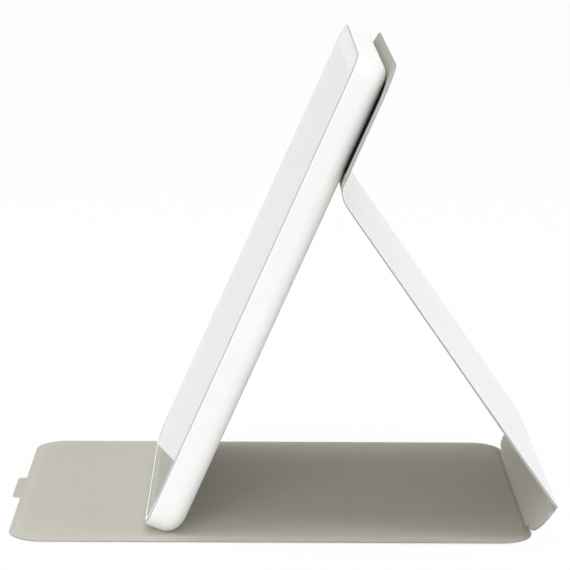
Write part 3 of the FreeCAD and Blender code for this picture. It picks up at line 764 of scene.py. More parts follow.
@dataclass
class CoverSheet:
    """How the laminated sheet is cut and formed, as levels from the bond between its layers.

    The edges give inset and level from the bond outwards, eased where the cut meets the face.
    """

    skin: float = 0.5
    lining: float = 0.4
    board: float = 0.6
    skin_edge: Profile = ((0.0, 0.0), (0.0, -0.3), (0.06, -0.43), (0.2, -0.5))
    lining_edge: Profile = ((0.0, 0.0), (0.0, 0.25), (0.05, 0.34), (0.15, 0.4))
    pressed_depth: float = 0.14
    pressed_width: float = 1.0
    slope_out: float = 2.7
    slope_in: float = 3.5
    slope_steps: int = 8
    board_play: float = 0.04

    def rim(self, layer: Layer) -> Profile:
        """Edge of a layer from the bond outwards, as inset and level."""
        return self.skin_edge if layer is Layer.SKIN else self.lining_edge

    def finishes(self, layer: Layer, lining: Finish) -> list[Finish]:
        """Finishes of a layer: its face, and on the lining the dyed cut edge as well."""
        return [COATED_SHEET] if layer is Layer.SKIN else [lining, DYED_CUT_EDGE]

    def face_rings(self, layer: Layer) -> Profile:
        """Formed rings on the outer face of a layer: pressed in the skin, raised in the lining.

        Args:
            layer: Skin or lining.

        Returns:
            Growth round the board, and level, of each ring from the outermost inwards.
        """
        shares = [step / self.slope_steps for step in range(self.slope_steps + 1)]
        if layer is Layer.SKIN:
            dips = [self.pressed_depth * math.sin(math.pi * share) ** 2 for share in shares]
            return [(self.pressed_width * (1 - s), -self.skin + dip) for s, dip in zip(shares, dips)]
        width = self.slope_out + self.slope_in
        return [(self.slope_out - width * s, self.lining + self.board * eased(s)) for s in shares]

    def bond_rings(self, layer: Layer) -> Profile:
        """Pocket for the board on the bond side of the lining, as growth and level."""
        pocket = ((self.board_play, 0.0), (self.board_play, self.board + self.board_play))
        return () if layer is Layer.SKIN else pocket

    def raised(self, level: float) -> float:
        """Level on the lining that grows with its height, from its own face to over the board."""
        return level * (self.lining + self.board) / self.lining


@dataclass
class Panel:
    """One stiffened panel of the cover, flat in its own frame with its fold along X."""

    name: str
    body: Body
    hinge: Vector
    angle: float
    corners: list[Corner]
    board: Rectangle
    fold_lines: tuple[float, ...]
    path: float = 0.0
    notch: float = 0.0
    notch_play: float = 0.01
    crisp_lines: tuple[float, ...] = ()
    crest: float = 3.0
    ramp: float = 9.0
    lining_finish: Finish = BRUSHED_MICROFIBRE
    sheet: CoverSheet = field(default_factory=CoverSheet)

    def edge_bands(self, outline: Sequence[Point]) -> list[int]:
        """Material slot of each band of the edge: dyed outside, plain in the notch of a fold."""
        outer = [abs(x) > self.notch + self.notch_play for x, _ in outline]
        return [int(outer[i - 1] and here) for i, here in enumerate(outer)]

    def lift_to_folds(self, loops: Sequence[Loop], rings: Sequence[Loop]) -> None:
        """Raise the lining to the board's height along its crisp folds.

        Args:
            loops: Loops of the lining's edge.
            rings: Loops that form the lining over the board.
        """
        full = self.sheet.lining + self.sheet.board
        for line in self.crisp_lines:
            for corner in [vert for loop in loops for vert in loop]:
                if abs(corner.co.y - line) < ON_LINE:
                    corner.co.z = self.sheet.raised(corner.co.z)
            for corner in [vert for ring in rings for vert in ring]:
                share = 1 - min(max(abs(corner.co.y - line) - self.crest, 0.0) / self.ramp, 1.0)
                corner.co.z += (full - corner.co.z) * eased(share)

    def build(self) -> None:
        """Make the panel's skin and lining, and dress the board between them."""
        outline = rounded_outline(self.corners)
        for layer in Layer:
            shell = Shell()
            insets = [(inset_points(outline, i, self.fold_lines), z) for i, z in self.sheet.rim(layer)]
            loops = [shell.loop(points, level) for points, level in insets]
            bond = [shell.loop(self.board.grown(g), z) for g, z in self.sheet.bond_rings(layer)]
            face = [shell.loop(self.board.grown(g), z) for g, z in self.sheet.face_rings(layer)]
            bands = [0]
            if layer is Layer.LINING:
                bands = self.edge_bands(outline)
                self.lift_to_folds(loops, face)
            shell.stack(loops, bands, bond, face)
            finishes = self.sheet.finishes(layer, self.lining_finish)
            place = turned(self.hinge, self.angle)
            piece = shell.piece(f"{self.name}_{layer.value}_sheet", place, finishes, self.path)
            seat(piece, self.body, finishes[0], f"{self.name}_{layer.value}")
        dress({f"{self.name}_board": GREY_BOARD})


@dataclass
class Fold:
    """A strip of the sheet that bends between two panels, on one wide arc or in a crisp crease."""

    name: str
    bodies: tuple[Body, Body]
    hinge: Vector
    angle_in: float
    angle_out: float
    reach: float
    half: float
    path: float
    crisp: bool = False
    crease_reach: float = 1.2
    dip_reach: float = 2.0
    steps: int = 24
    sheet: CoverSheet = field(default_factory=CoverSheet)

    def spot(self, run: float, level: float) -> Vector:
        """Point of the strip's section.

        Args:
            run: Distance along the sheet from the fold's axis.
            level: Level from the bond, on the lining's side.

        Returns:
            The point in the row frame, in millimetres.
        """
        arc = self.crease_reach if self.crisp else self.reach
        if abs(run) > arc:
            angle = self.angle_in if run < 0 else self.angle_out
            return self.hinge + along(angle, run) + along(angle + QUARTER, level)
        bend = self.angle_out - self.angle_in
        side = math.copysign(1.0, bend)
        radius = arc / math.tan(abs(bend) / 2)
        angle = self.angle_in + bend * (run + arc) / (2 * arc)
        start = self.hinge - along(self.angle_in, arc)
        centre = start + along(self.angle_in + QUARTER, side * radius)
        return centre - along(angle + QUARTER, side * radius - level)

    def height(self, layer: Layer, run: float, level: float) -> float:
        """Level of a point: a crisp lining stands full and dips in the crease.

        Args:
            layer: Skin or lining.
            run: Distance along the sheet from the fold's axis.
            level: Level of the plain sheet.

        Returns:
            The level at that distance.
        """
        if layer is Layer.SKIN or not self.crisp:
            return level
        share = min(abs(run) / self.dip_reach, 1.0)
        return level + (self.sheet.raised(level) - level) * share

    def build(self) -> None:
        """Make the strip's skin and lining and bend them between the two bodies."""
        for layer in Layer:
            rim = list(self.sheet.rim(layer))
            section = [(-self.half + inset, level) for inset, level in rim]
            section += [(self.half - inset, level) for inset, level in reversed(rim)]
            edge_bands = [int(layer is Layer.LINING)] * (len(rim) - 1)
            shell = Shell()
            loops = []
            flat = []
            for step in range(self.steps + 1):
                run = self.reach * (2 * step / self.steps - 1)
                heights = [self.height(layer, run, level) for _, level in section]
                spots = [self.spot(run, height) for height in heights]
                loops.append([shell.mesh.verts.new((x, *spot.yz)) for (x, _), spot in zip(section, spots)])
                flat += [(x, self.path + run, 0.0) for x, _ in section]
            shell.stack(loops, [0, *edge_bands, 0, *edge_bands])
            finishes = self.sheet.finishes(layer, BRUSHED_MICROFIBRE)
            piece = shell.piece(f"{self.name}_{layer.value}_strip", Matrix(), finishes, flat=flat)
            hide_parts(f"{self.name}_{layer.value}")
            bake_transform(piece)
            LOG.info("%s bends from %s to %s", piece.name, self.bodies[0].value, self.bodies[1].value)


@dataclass
class Cover:
    """The folio cover: four panels and the three folds between them."""

    half: float = 85.0
    spine_half: float = 82.2
    base_length: float = 240.4
    spine_length: float = 20.0
    support_length: float = 175.9
    back_length: float = 61.9
    corner: float = 16.0
    spine_corner: float = 16.0
    spine_board_corner: float = 10.0
    spine_slope: float = 1.0
    board_inset: float = 3.0
    board_fold_inset: float = 1.5
    board_corner: float = 0.5
    fold_share: float = 0.48
    crease_half: float = 62.0
    crease_play: float = 0.4
    crease_gap: float = 0.05
    base_ear: float = 1.0
    spine_ear: float = 1.4
    support_ear: float = 0.3
    ear_corner: float = 0.5
    narrow_fold: float = 2.5
    wide_fold: float = 6.0
    tab_half: float = 16.0
    tab_depth: float = 4.0
    tab_corner: float = 1.5
    # Black strips of painted shade on the back panel, in the recess beside the tray's back.
    shade_strip_across: Point = (69.2, 80.0)
    shade_strip_up: Point = (8.5, 53.0)
    shade_strip_corner: float = 9.0
    shade_strip_levels: Point = (0.01, 0.06)

    def base_corners(self) -> list[Corner]:
        """Outline of the base, with its finger tab in front and its ears beside the fold.

        Returns:
            Corners with their radii, anticlockwise.
        """
        front = -self.base_length
        notch = self.crease_half + self.crease_play
        right = [
            (self.tab_half, front - self.tab_depth, self.tab_corner),
            (self.tab_half, front, self.ear_corner),
            (self.half, front, self.corner),
            (self.half, self.base_ear, self.corner),
            (notch, self.base_ear, self.ear_corner),
            (notch, -self.narrow_fold, 0.0),
        ]
        return right + mirrored(right)

    def eared_corners(self, half: float, high: float, fold_half: float, ear: Point) -> list[Corner]:
        """Outline of a panel whose low corners reach past the ends of a narrower fold.

        Args:
            half: Half of the panel's width.
            high: Where the panel ends along Y.
            fold_half: Half of the fold's width.
            ear: Where the ears begin along Y, and the radius of their outer corners.

        Returns:
            Corners with their radii, anticlockwise.
        """
        notch = fold_half + self.crease_play
        right = [
            (notch, self.narrow_fold, 0.0),
            (notch, ear[0], self.ear_corner),
            (half, *ear),
            (half, high, 0.0),
        ]
        return right + mirrored(right)

    def board(self, half: float, ends: Point, rounds: Point, folds: tuple[bool, bool]) -> Rectangle:
        """Board of a panel, set in from the panel's sides.

        Args:
            half: Half of the panel's width.
            ends: Where the board begins and ends along Y.
            rounds: Radius of its corners at either end.
            folds: Whether either end lies at a fold.

        Returns:
            The board's outline.
        """
        low, high = [self.fold_share if fold else 1.0 for fold in folds]
        return Rectangle(half - self.board_inset, *ends, *rounds, (low, high))

    def build_painted_shade(self, hinge: Vector, angle: float) -> None:
        """Lay black strips of painted shade on the back panel, in the recess beside the tray's flat back.

        Args:
            hinge: Origin of the back panel's flat frame.
            angle: Turn of the back panel.
        """
        sheet = CoverSheet()
        low, high = self.shade_strip_up
        inner, outer = self.shade_strip_across
        right = [(inner, low, 0.0), (outer, low, 0.0), (outer, high, self.shade_strip_corner), (inner, high, 0.0)]
        # Each strip is black as painted shade where the tray's back shadows the panel.
        for side, corners in (("left", mirrored(right)), ("right", right)):
            strip = rounded_outline(corners)
            sections = [(strip, sheet.lining + sheet.board + level) for level in self.shade_strip_levels]
            place = turned(hinge, angle)
            piece = stacked(f"back_tape_{side}_strip", sections, place, [BLACK_TAPE_AND_PAINTED_SHADE])
            seat(piece, Body.MIRROR, BLACK_TAPE_AND_PAINTED_SHADE)

    def build(self) -> None:
        """Make every panel and fold from the joints' places and turns."""
        spine_angle = joint_turn("rear_fold")
        support_angle = spine_angle + joint_turn("stand_fold")
        lean = support_angle - joint_turn("upper_fold")
        rear, lower, upper = [joint_axis(name) for name in ("rear_fold", "stand_fold", "upper_fold")]
        lower_path = self.spine_length
        upper_path = lower_path + self.support_length
        self.build_painted_shade(upper, lean)
        near = self.narrow_fold
        near_board = near + self.board_fold_inset
        spine_high = self.spine_length - near
        support_high = self.support_length - self.wide_fold
        crease_notch = self.crease_half + self.crease_play
        square = (self.board_corner, self.board_corner)
        free_round = self.corner - self.board_inset
        base_ends = (-self.base_length + self.board_inset, -near_board)
        spine_ends = (near_board, spine_high - self.board_fold_inset)
        support_ends = (near_board, support_high - self.board_fold_inset)
        back_ends = (self.wide_fold + self.board_fold_inset, self.back_length - self.board_inset)
        spine_rounds = (self.spine_board_corner, self.board_corner)
        spine_ear = (self.spine_ear, self.spine_corner)
        support_ear = (self.support_ear, self.ear_corner)
        panels = [
            Panel(
                "base",
                Body.BASE,
                rear,
                0.0,
                self.base_corners(),
                self.board(self.half, base_ends, (free_round, free_round), (False, True)),
                (-near,),
                notch=crease_notch,
                crisp_lines=(-near,),
            ),
            Panel(
                "spine",
                Body.SPINE,
                rear,
                spine_angle,
                self.eared_corners(self.spine_half, spine_high, self.crease_half, spine_ear),
                self.board(self.spine_half, spine_ends, spine_rounds, (True, True)),
                (near, spine_high),
                notch=crease_notch,
                crisp_lines=(near, spine_high),
                sheet=CoverSheet(slope_in=self.spine_slope),
            ),
            Panel(
                "support",
                Body.SUPPORT,
                lower,
                support_angle,
                self.eared_corners(self.half, support_high, self.spine_half, support_ear),
                self.board(self.half, support_ends, square, (True, True)),
                (near, support_high),
                lower_path,
                notch=self.spine_half + self.crease_play,
                crisp_lines=(near,),
            ),
            Panel(
                "back_panel",
                Body.MIRROR,
                upper,
                lean,
                box_corners(self.half, self.wide_fold, self.back_length, (0.0, self.corner)),
                self.board(self.half, back_ends, (self.board_corner, free_round), (True, False)),
                (self.wide_fold,),
                upper_path,
                # The back panel's lining is darker as painted shade of the recess behind the tray.
                lining_finish=PAINTED_SHADE_MICROFIBRE,
            ),
        ]
        rear_half = crease_notch - self.crease_gap
        into_spine = (Body.BASE, Body.SPINE)
        into_support = (Body.SPINE, Body.SUPPORT)
        into_mirror = (Body.SUPPORT, Body.MIRROR)
        wide = self.wide_fold
        folds = [
            Fold("rear_fold", into_spine, rear, 0.0, spine_angle, near, rear_half, 0.0, crisp=True),
            Fold(
                "lower_fold",
                into_support,
                lower,
                spine_angle,
                support_angle,
                near,
                self.spine_half,
                lower_path,
                crisp=True,
            ),
            Fold("upper_fold", into_mirror, upper, support_angle, lean, wide, self.half, upper_path),
        ]
        for member in panels + folds:
            member.build()
        dress({"base_keeper_strip": ROLLED_STEEL})


# Repeated pieces
@dataclass
class Repeat:
    """Copies of one small shape, set out on points of a flat frame by geometry nodes."""

    name: str
    finish: Finish
    spots: list[Spot]
    lean: float
    origin: Vector
    turns: Sequence[float] = ()

    def sizes(self) -> dict[str, float]:
        """Named sizes of one copy, in metres."""
        raise NotImplementedError

    def shape(self, tree: Tree, sizes: bpy.types.Node) -> Socket:
        """Nodes that make one copy, as the geometry they give."""
        raise NotImplementedError

    def tree(self) -> tuple[Tree, bpy.types.Node]:
        """Start a node tree with the inputs that every kind of copy needs.

        Returns:
            The tree and its input node.
        """
        tree = bpy.data.node_groups.new(self.name, "GeometryNodeTree")
        tree.interface.new_socket("Geometry", in_out="OUTPUT", socket_type="NodeSocketGeometry")
        kinds = {"Geometry": "NodeSocketGeometry", **dict.fromkeys(self.sizes(), "NodeSocketFloat")}
        kinds.update({"Place": "NodeSocketVector", "Lean": "NodeSocketVector"})
        for label, kind in kinds.items():
            tree.interface.new_socket(label, in_out="INPUT", socket_type=kind)
        return tree, add_node(tree, "NodeGroupInput")

    def build(self) -> Thing:
        """Set out the copies and turn them into one plain mesh.

        Returns:
            The piece, at the origin.
        """
        mesh = bpy.data.meshes.new(self.name)
        mesh.from_pydata([[value * MM for value in spot] for spot in self.spots], [], [])
        turns = self.turns or [0.0] * len(self.spots)
        attribute = mesh.attributes.new("turn", "FLOAT_VECTOR", "POINT")
        attribute.data.foreach_set("vector", [value for angle in turns for value in (0.0, 0.0, angle)])
        piece = add_object(self.name, mesh)
        tree, sizes = self.tree()
        kind = "GeometryNodeInputNamedAttribute"
        turn = add_node(tree, kind, {"Name": "turn"}, data_type="FLOAT_VECTOR")
        feeds = {
            "Points": sizes.outputs["Geometry"],
            "Instance": self.shape(tree, sizes),
            "Rotation": turn.outputs["Attribute"],
        }
        copies = add_node(tree, "GeometryNodeInstanceOnPoints", feeds)
        feeds = {
            "Geometry": copies.outputs["Instances"],
            "Translation": sizes.outputs["Place"],
            "Rotation": sizes.outputs["Lean"],
        }
        placed = add_node(tree, "GeometryNodeTransform", feeds)
        real = add_node(tree, "GeometryNodeRealizeInstances", {"Geometry": placed.outputs["Geometry"]})
        feeds = {"Geometry": real.outputs["Geometry"], "Material": self.finish.material()}
        painted = add_node(tree, "GeometryNodeSetMaterial", feeds)
        add_node(tree, "NodeGroupOutput", {"Geometry": painted.outputs["Geometry"]})
        modifier = piece.modifiers.new(self.name, "NODES")
        modifier.node_group = tree
        values = {"Place": self.origin * MM, "Lean": (self.lean, 0.0, 0.0), **self.sizes()}
        for item in tree.interface.items_tree:
            if item.in_out == "INPUT" and item.name in values:
                modifier[item.identifier] = values[item.name]
        return settle(piece)


@dataclass
class PadRow(Repeat):
    """Copies of a small flat block, such as a diode's package or a contact."""

    block: Spot = (1.0, 1.0, 1.0)

    def sizes(self) -> dict[str, float]:
        """Named sizes of one block, in metres."""
        return {name: side * MM for name, side in zip(("Length", "Width", "Height"), self.block)}

    def shape(self, tree: Tree, sizes: bpy.types.Node) -> Socket:
        """Nodes that make one block.

        Args:
            tree: Node tree that takes them.
            sizes: Its input node.

        Returns:
            The block's mesh.
        """
        sides = {"X": sizes.outputs["Length"], "Y": sizes.outputs["Width"], "Z": sizes.outputs["Height"]}
        size = add_node(tree, "ShaderNodeCombineXYZ", sides)
        return add_node(tree, "GeometryNodeMeshCube", {"Size": size.outputs["Vector"]}).outputs["Mesh"]


@dataclass
class ScrewSet(Repeat):
    """Copies of a pan-head screw with a cross recess, its head on the point it is set on."""

    head: float = 3.8
    head_height: float = 1.3
    head_sides: int = 32
    crown_share: float = 0.36
    shank: float = 1.9
    shank_sides: int = 20
    length: float = 5.0
    recess: float = 2.2
    recess_width: float = 0.5

    def sizes(self) -> dict[str, float]:
        """Named sizes of one screw, in metres."""
        return {
            "Head radius": self.head / 2 * MM,
            "Crown radius": self.head * self.crown_share * MM,
            "Half head": self.head_height / 2 * MM,
            "Shank radius": self.shank / 2 * MM,
            "Length": self.length * MM,
            "Recess": self.recess * MM,
            "Recess width": self.recess_width * MM,
        }

    def lifted(self, tree: Tree, mesh: Socket, level: float) -> Socket:
        """Nodes that move a mesh up its axis, as the geometry they give."""
        feeds = {"Geometry": mesh, "Translation": (0.0, 0.0, level * MM)}
        return add_node(tree, "GeometryNodeTransform", feeds).outputs["Geometry"]

    def shape(self, tree: Tree, sizes: bpy.types.Node) -> Socket:
        """Nodes that make one screw: shank, head, crown and the cross cut into it.

        Args:
            tree: Node tree that takes them.
            sizes: Its input node.

        Returns:
            The screw's mesh.
        """
        size = sizes.outputs
        half = self.head_height / 2
        head = {"Radius": size["Head radius"], "Depth": size["Half head"], "Vertices": self.head_sides}
        head_mesh = add_node(tree, "GeometryNodeMeshCylinder", head).outputs["Mesh"]
        crown = {
            "Radius Top": size["Crown radius"],
            "Radius Bottom": size["Head radius"],
            "Depth": size["Half head"],
            "Vertices": self.head_sides,
        }
        crown_mesh = add_node(tree, "GeometryNodeMeshCone", crown).outputs["Mesh"]
        shank = {"Radius": size["Shank radius"], "Depth": size["Length"], "Vertices": self.shank_sides}
        shank_mesh = add_node(tree, "GeometryNodeMeshCylinder", shank).outputs["Mesh"]
        solid = add_node(tree, "GeometryNodeMeshBoolean", operation="UNION", solver="EXACT")
        # A cylinder is made round its middle, and the crown's cone upwards from its base.
        parts = ((head_mesh, half / 2), (crown_mesh, half), (shank_mesh, -self.length / 2 + half / 2))
        for mesh, level in parts:
            tree.links.new(self.lifted(tree, mesh, level), solid.inputs["Mesh 2"])
        cut = add_node(tree, "GeometryNodeMeshBoolean", operation="DIFFERENCE", solver="EXACT")
        tree.links.new(solid.outputs["Mesh"], cut.inputs["Mesh 1"])
        for long, wide in (("Recess", "Recess width"), ("Recess width", "Recess")):
            sides = {"X": size[long], "Y": size[wide], "Z": size["Half head"]}
            bar_size = add_node(tree, "ShaderNodeCombineXYZ", sides).outputs["Vector"]
            bar = add_node(tree, "GeometryNodeMeshCube", {"Size": bar_size}).outputs["Mesh"]
            tree.links.new(self.lifted(tree, bar, self.head_height), cut.inputs["Mesh 2"])
        return cut.outputs["Mesh"]


# Mirror unit
@dataclass
class MirrorUnit:
    """The moulded tray with its glass, silvering and light ring."""

    width: float = 160.0
    height: float = 239.0
    corner: float = 14.0
    least_corner: float = 0.5
    fold_height: float = 179.0
    cover_level: float = -17.5
    glass_inset: float = 1.2
    glass_thickness: float = 2.0
    glass_arris: float = 0.3
    arris_bulge: float = 0.3
    border_width: float = 2.1
    border_levels: Point = (0.01, 0.04)
    light_band: float = 10.0
    silver_sink: float = 0.03
    silver_thickness: float = 0.1
    led_inset: float = 8.35
    led_pitch: float = 12.0
    led_level: float = -6.4
    led_size: Spot = (3.5, 2.8, 0.7)
    led_window: Spot = (2.4, 1.9, 0.06)
    screw_edge: float = 22.0
    plate_level: float = -7.4
    board_screw_across: float = -62.5
    board_screws_up: Point = (46.0, 86.0)
    board_level: float = -11.8
    board_screw_length: float = 2.4

    def lean(self) -> float:
        """Angle of the glass above the level, in radians."""
        return joint_turn("rear_fold") + joint_turn("stand_fold") - joint_turn("upper_fold")

    def origin(self) -> Vector:
        """Middle of the face's lower edge, in millimetres in the row frame."""
        upwards = along(self.lean(), self.fold_height)
        return joint_axis("upper_fold") - upwards - along(self.lean() + QUARTER, self.cover_level)

    def place(self) -> Matrix:
        """From the unit's flat frame to the row frame."""
        return turned(self.origin(), self.lean())

    def outline(self, inset: float) -> list[Point]:
        """Outline of the unit moved inwards."""
        rounds = (max(self.corner - inset, self.least_corner),) * 2
        return rounded_outline(box_corners(self.width / 2 - inset, inset, self.height - inset, rounds))

    def build_glass(self) -> None:
        """Make the glass with its ground edge, its frosted lower border and the silver behind it."""
        back = -self.glass_thickness
        arris = self.glass_arris
        bulge = arris * self.arris_bulge
        steps = ((arris, back), (0.0, back + arris), (0.0, -arris), (bulge, -bulge), (arris, 0.0))
        sections = [(self.outline(self.glass_inset + inset), level) for inset, level in steps]
        pane = stacked("mirror_pane", sections, self.place(), [FLOAT_GLASS, GROUND_GLASS_EDGE], (1,))
        seat(pane, Body.MIRROR, FLOAT_GLASS, "mirror_glass")

        insets = (self.glass_inset + arris, self.glass_inset + self.border_width)
        outer, inner = [[p for p in self.outline(inset) if p[1] < self.corner] for inset in insets]
        sections = [(outer + inner[::-1], level) for level in self.border_levels]
        border = stacked("frosted_lower_border", sections, self.place(), [FROSTED_GLASS_BORDER])
        seat(border, Body.MIRROR, FROSTED_GLASS_BORDER)

        outline = self.outline(self.glass_inset + self.light_band)
        sections = [(outline, back - self.silver_thickness), (outline, back + self.silver_sink)]
        silver = stacked("silver_coat", sections, self.place(), [MIRROR_SILVER])
        seat(silver, Body.MIRROR, MIRROR_SILVER, "silver_layer")

    def led_spots(self) -> tuple[list[Spot], list[float]]:
        """Set out the diodes along the four sides of the light ring.

        Returns:
            Their places in the unit's flat frame, and their turns.
        """
        half = self.width / 2 - self.led_inset
        low, high = self.led_inset, self.height - self.led_inset
        across = int((2 * half - self.led_pitch) // self.led_pitch)
        upward = int((high - low - self.led_pitch) // self.led_pitch)
        level = self.led_level + self.led_size[2] / 2
        spots = []
        turns = []
        for i in range(across + 1):
            x = (i - across / 2) * self.led_pitch
            spots += [(x, low, level), (x, high, level)]
            turns += [0.0, 0.0]
        for i in range(upward + 1):
            y = (low + high) / 2 + (i - upward / 2) * self.led_pitch
            spots += [(-half, y, level), (half, y, level)]
            turns += [QUARTER, QUARTER]
        return spots, turns

    def build_light(self) -> None:
        """Set out the diodes of the light ring, and the screws of its chassis and of the board."""
        stance = (self.lean(), self.origin())
        spots, turns = self.led_spots()
        packages = PadRow("led_packages", LED_PACKAGE, spots, *stance, turns, self.led_size)
        seat(packages.build(), Body.MIRROR, LED_PACKAGE, "leds")
        lift = (self.led_size[2] + self.led_window[2]) / 2
        raised = [(x, y, z + lift) for x, y, z in spots]
        windows = PadRow("led_windows", LED_PHOSPHOR, raised, *stance, turns, self.led_window)
        seat(windows.build(), Body.MIRROR, LED_PHOSPHOR)

        side = self.width / 2 - self.screw_edge
        ends = (self.screw_edge, self.height - self.screw_edge)
        rows = (ends[0], self.height / 2, ends[1])
        seats = [(x, y, self.plate_level) for x in (-side, side) for y in rows]
        seats += [(0.0, y, self.plate_level) for y in ends]
        screws = ScrewSet("light_chassis_screws", SCREW_STEEL, seats, *stance)
        seat(screws.build(), Body.MIRROR, SCREW_STEEL, "chassis_screws")
        seats = [(self.board_screw_across, up, self.board_level) for up in self.board_screws_up]
        short = ScrewSet("control_board_screws", SCREW_STEEL, seats, *stance)
        short.length = self.board_screw_length
        seat(short.build(), Body.MIRROR, SCREW_STEEL, "board_screws")

    def build(self) -> None:
        """Make the glass and the light, and dress the solids that stay."""
        self.build_glass()
        self.build_light()
        dress(
            {
                "back_shell": MOULDED_ABS,
                "light_diffuser": OPAL_ACRYLIC,
                "light_chassis": WHITE_POLYCARBONATE,
                "led_board": WHITE_RESIST,
                "glass_bond_rings": FOAM_TAPE,
                # The bond tape takes the black that also paints the shade beside the tray's back.
                "back_bond": BLACK_TAPE_AND_PAINTED_SHADE,
                "battery": POUCH_FOIL,
                "battery_tape": FOAM_TAPE,
                "battery_leads": LEAD_SLEEVE,
                "foot_magnets": PLATED_MAGNET,
            }
        )


@dataclass
class Controls:
    """The control board with its socket, switch, button and indicator."""

    unit: MirrorUnit
    tongue_left: float = -78.36
    tongue_right: float = -72.5
    tongue_half: float = 3.41
    tongue_thickness: float = 0.82
    tongue_corner: float = 0.5
    tongue_ease_share: float = 1 / 3
    socket_up: float = 52.0
    socket_level: float = -10.17
    contact_count: int = 12
    contact_pitch: float = 0.5
    contact_size: Spot = (3.4, 0.26, 0.04)

    def build_tongue(self) -> None:
        """Make the socket's tongue, eased along its edges and rounded at its mouth."""
        low = self.socket_up - self.tongue_half
        high = self.socket_up + self.tongue_half
        corners = [
            (self.tongue_left, low, self.tongue_corner),
            (self.tongue_right, low, 0.0),
            (self.tongue_right, high, 0.0),
            (self.tongue_left, high, self.tongue_corner),
        ]
        outline = rounded_outline(corners)
        half = self.tongue_thickness / 2
        ease = half * self.tongue_ease_share
        steps = ((ease, -half), (0.0, ease - half), (0.0, half - ease), (ease, half))
        sections = [(inset_points(outline, inset), self.socket_level + z) for inset, z in steps]
        tongue = stacked("socket_tongue", sections, self.unit.place(), [BLACK_NYLON])
        seat(tongue, Body.MIRROR, BLACK_NYLON)

    def build_contacts(self) -> None:
        """Set out the contacts on both faces of the tongue."""
        first_up = self.socket_up - (self.contact_count - 1) / 2 * self.contact_pitch
        across = self.tongue_left + self.tongue_corner + self.contact_size[0] / 2
        spots = [
            (across, first_up + i * self.contact_pitch, self.socket_level + side * self.tongue_thickness / 2)
            for side in (-1, 1)
            for i in range(self.contact_count)
        ]
        stance = (self.unit.lean(), self.unit.origin())
        contacts = PadRow("socket_contacts", GOLD_FLASHED_BRASS, spots, *stance)
        contacts.block = self.contact_size
        seat(contacts.build(), Body.MIRROR, GOLD_FLASHED_BRASS)

    def build(self) -> None:
        """Make the inside of the socket, and dress the solids that stay."""
        self.build_tongue()
        self.build_contacts()
        dress(
            {
                "control_board": GREEN_RESIST,
                "charging_socket": DRAWN_STEEL,
                "tact_switch": BLACK_NYLON,
                "switch_plunger": BLACK_NYLON,
                "power_button": POLISHED_ABS,
                "indicator_light_pipe": CLEAR_POLYCARBONATE,
                "board_link_pins": GOLD_FLASHED_BRASS,
            }
        )


# Studio
@dataclass(frozen=True)
class Lamp:
    """A soft box that looks at the middle of the object.

    Light that the silver throws back has passed through the glass. A box that would show in
    the mirror as a glaring patch is therefore left out of what is seen through glass.
    """

    name: str
    place: Spot
    size: float
    power: float
    seen_in_glass: bool = True


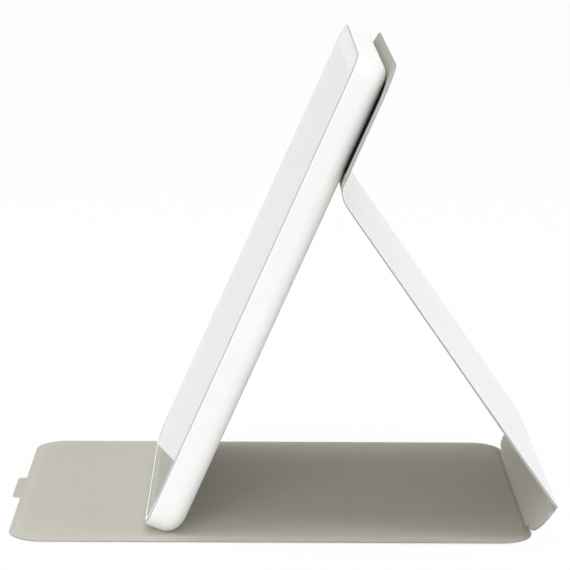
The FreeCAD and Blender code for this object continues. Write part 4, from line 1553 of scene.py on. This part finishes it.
@dataclass
class Studio:
    """White room: floor, even dome, soft boxes and the camera."""

    image_pixels: float = 570.0
    focal_pixels: float = 2382.2
    sensor: float = 36.0
    view_reach: float = 100.0
    camera_place: Spot = (1.12413, -0.00963, 0.33685)
    yaw_degrees: float = 0.6686
    pitch_degrees: float = 11.7655
    roll_degrees: float = 0.4451
    dome: float = 0.42
    white: str = "FFFFFF"
    floor_half: float = 6.0
    floor_drop: float = 0.0001
    floor_colour: str = "F5F5F5"
    floor_glow: float = 0.95
    aim: Spot = (0.0, 0.0, 0.08)
    lamps: tuple[Lamp, ...] = (
        Lamp("camera_soft_box", (1.9, -1.0, 0.25), 1.0, 20.5, seen_in_glass=False),
        Lamp("top_soft_box", (0.0, 0.0, 2.2), 1.4, 18.0),
        Lamp("front_soft_box", (0.0, -1.6, 0.7), 1.2, 10.0),
        Lamp("rear_soft_box", (0.2, 1.7, 1.5), 1.2, 13.0),
    )

    def seen_directly(self, tree: Tree) -> Socket:
        """Add nodes that tell rays that show the room itself from rays that light the object.

        Args:
            tree: Node tree of the world or of the floor.

        Returns:
            One to the eye, in a mirror and through glass, and zero for the rest.
        """
        ray = add_node(tree, "ShaderNodeLightPath").outputs
        seen = ray["Is Camera Ray"]
        for other in ("Is Glossy Ray", "Is Transmission Ray"):
            seen = add_node(tree, "ShaderNodeMath", {0: seen, 1: ray[other]}, operation="MAXIMUM").outputs[0]
        return seen

    def build_dome(self) -> None:
        """Make the world: an even light, and white where it is seen."""
        world = bpy.data.worlds.new("white_dome")
        tree = empty_tree(world)
        white = linear(self.white)
        light = add_node(tree, "ShaderNodeBackground", {"Color": white, "Strength": self.dome})
        plain = add_node(tree, "ShaderNodeBackground", {"Color": white, "Strength": 1.0})
        shades = {1: light.outputs["Background"], 2: plain.outputs["Background"]}
        mix = add_node(tree, "ShaderNodeMixShader", {0: self.seen_directly(tree), **shades})
        add_node(tree, "ShaderNodeOutputWorld", {"Surface": mix.outputs["Shader"]})
        bpy.context.scene.world = world
        LOG.info("dome is set")

    def build_floor(self) -> None:
        """Make the paper floor, which keeps shadows and is nearly white where it is seen."""
        material = bpy.data.materials.new("white_paper_floor")
        tree = empty_tree(material)
        glowing = {0: self.seen_directly(tree), 1: self.floor_glow}
        share = add_node(tree, "ShaderNodeMath", glowing, operation="MULTIPLY")
        paper = add_node(tree, "ShaderNodeBsdfDiffuse", {"Color": linear(self.floor_colour)})
        glow = add_node(tree, "ShaderNodeEmission", {"Color": linear(self.white), "Strength": 1.0})
        mixed = {0: share.outputs[0], 1: paper.outputs["BSDF"], 2: glow.outputs["Emission"]}
        mix = add_node(tree, "ShaderNodeMixShader", mixed)
        add_node(tree, "ShaderNodeOutputMaterial", {"Surface": mix.outputs["Shader"]})
        half = self.floor_half
        sharp = (0.0, 0.0)
        corners = [(x, y, -self.floor_drop) for x, y, _ in box_corners(half, -half, half, sharp)]
        mesh = bpy.data.meshes.new("floor")
        mesh.from_pydata(corners, [], [(0, 1, 2, 3)])
        mesh.materials.append(material)
        add_object("floor", mesh)
        LOG.info("floor is laid")

    def build_lamps(self) -> None:
        """Hang the soft boxes."""
        for lamp in self.lamps:
            light = bpy.data.lights.new(lamp.name, "AREA")
            light.size = lamp.size
            light.energy = lamp.power
            box = add_object(lamp.name, light)
            box.location = lamp.place
            box.rotation_euler = (Vector(self.aim) - box.location).to_track_quat("-Z", "Y").to_euler()
            box.visible_glossy = False
            box.visible_transmission = lamp.seen_in_glass
            LOG.info("%s is hung", lamp.name)

    def build_camera(self) -> None:
        """Stand the camera where the picture was taken from."""
        yaw = math.radians(self.yaw_degrees)
        pitch = math.radians(self.pitch_degrees)
        roll = math.radians(self.roll_degrees)
        level = Vector((-math.cos(yaw), math.sin(yaw), 0.0)) * math.cos(pitch)
        forward = level - Vector((0.0, 0.0, math.sin(pitch)))
        flat_right = forward.cross(Vector((0.0, 0.0, 1.0))).normalized()
        flat_up = flat_right.cross(forward)
        right = flat_right * math.cos(roll) + flat_up * math.sin(roll)
        up = flat_up * math.cos(roll) - flat_right * math.sin(roll)
        data = bpy.data.cameras.new("camera")
        data.sensor_width = self.sensor
        data.lens = self.focal_pixels / self.image_pixels * self.sensor
        data.clip_end = self.view_reach
        camera = add_object("camera", data)
        axes = Matrix((right, up, -forward)).transposed()
        camera.matrix_world = Matrix.Translation(self.camera_place) @ axes.to_4x4()
        bpy.context.scene.camera = camera
        LOG.info("camera has a %.1f mm lens", data.lens)

    def build(self) -> None:
        """Make the camera, the room and the lamps."""
        bpy.context.scene.view_settings.view_transform = "Standard"
        self.build_camera()
        self.build_dome()
        self.build_floor()
        self.build_lamps()


def main() -> None:
    """Build the classes in order."""
    logging.basicConfig(level=logging.INFO, format="%(message)s")
    Studio().build()
    Cover().build()
    unit = MirrorUnit()
    unit.build()
    Controls(unit).build()


if __name__ == "__main__":
    main()
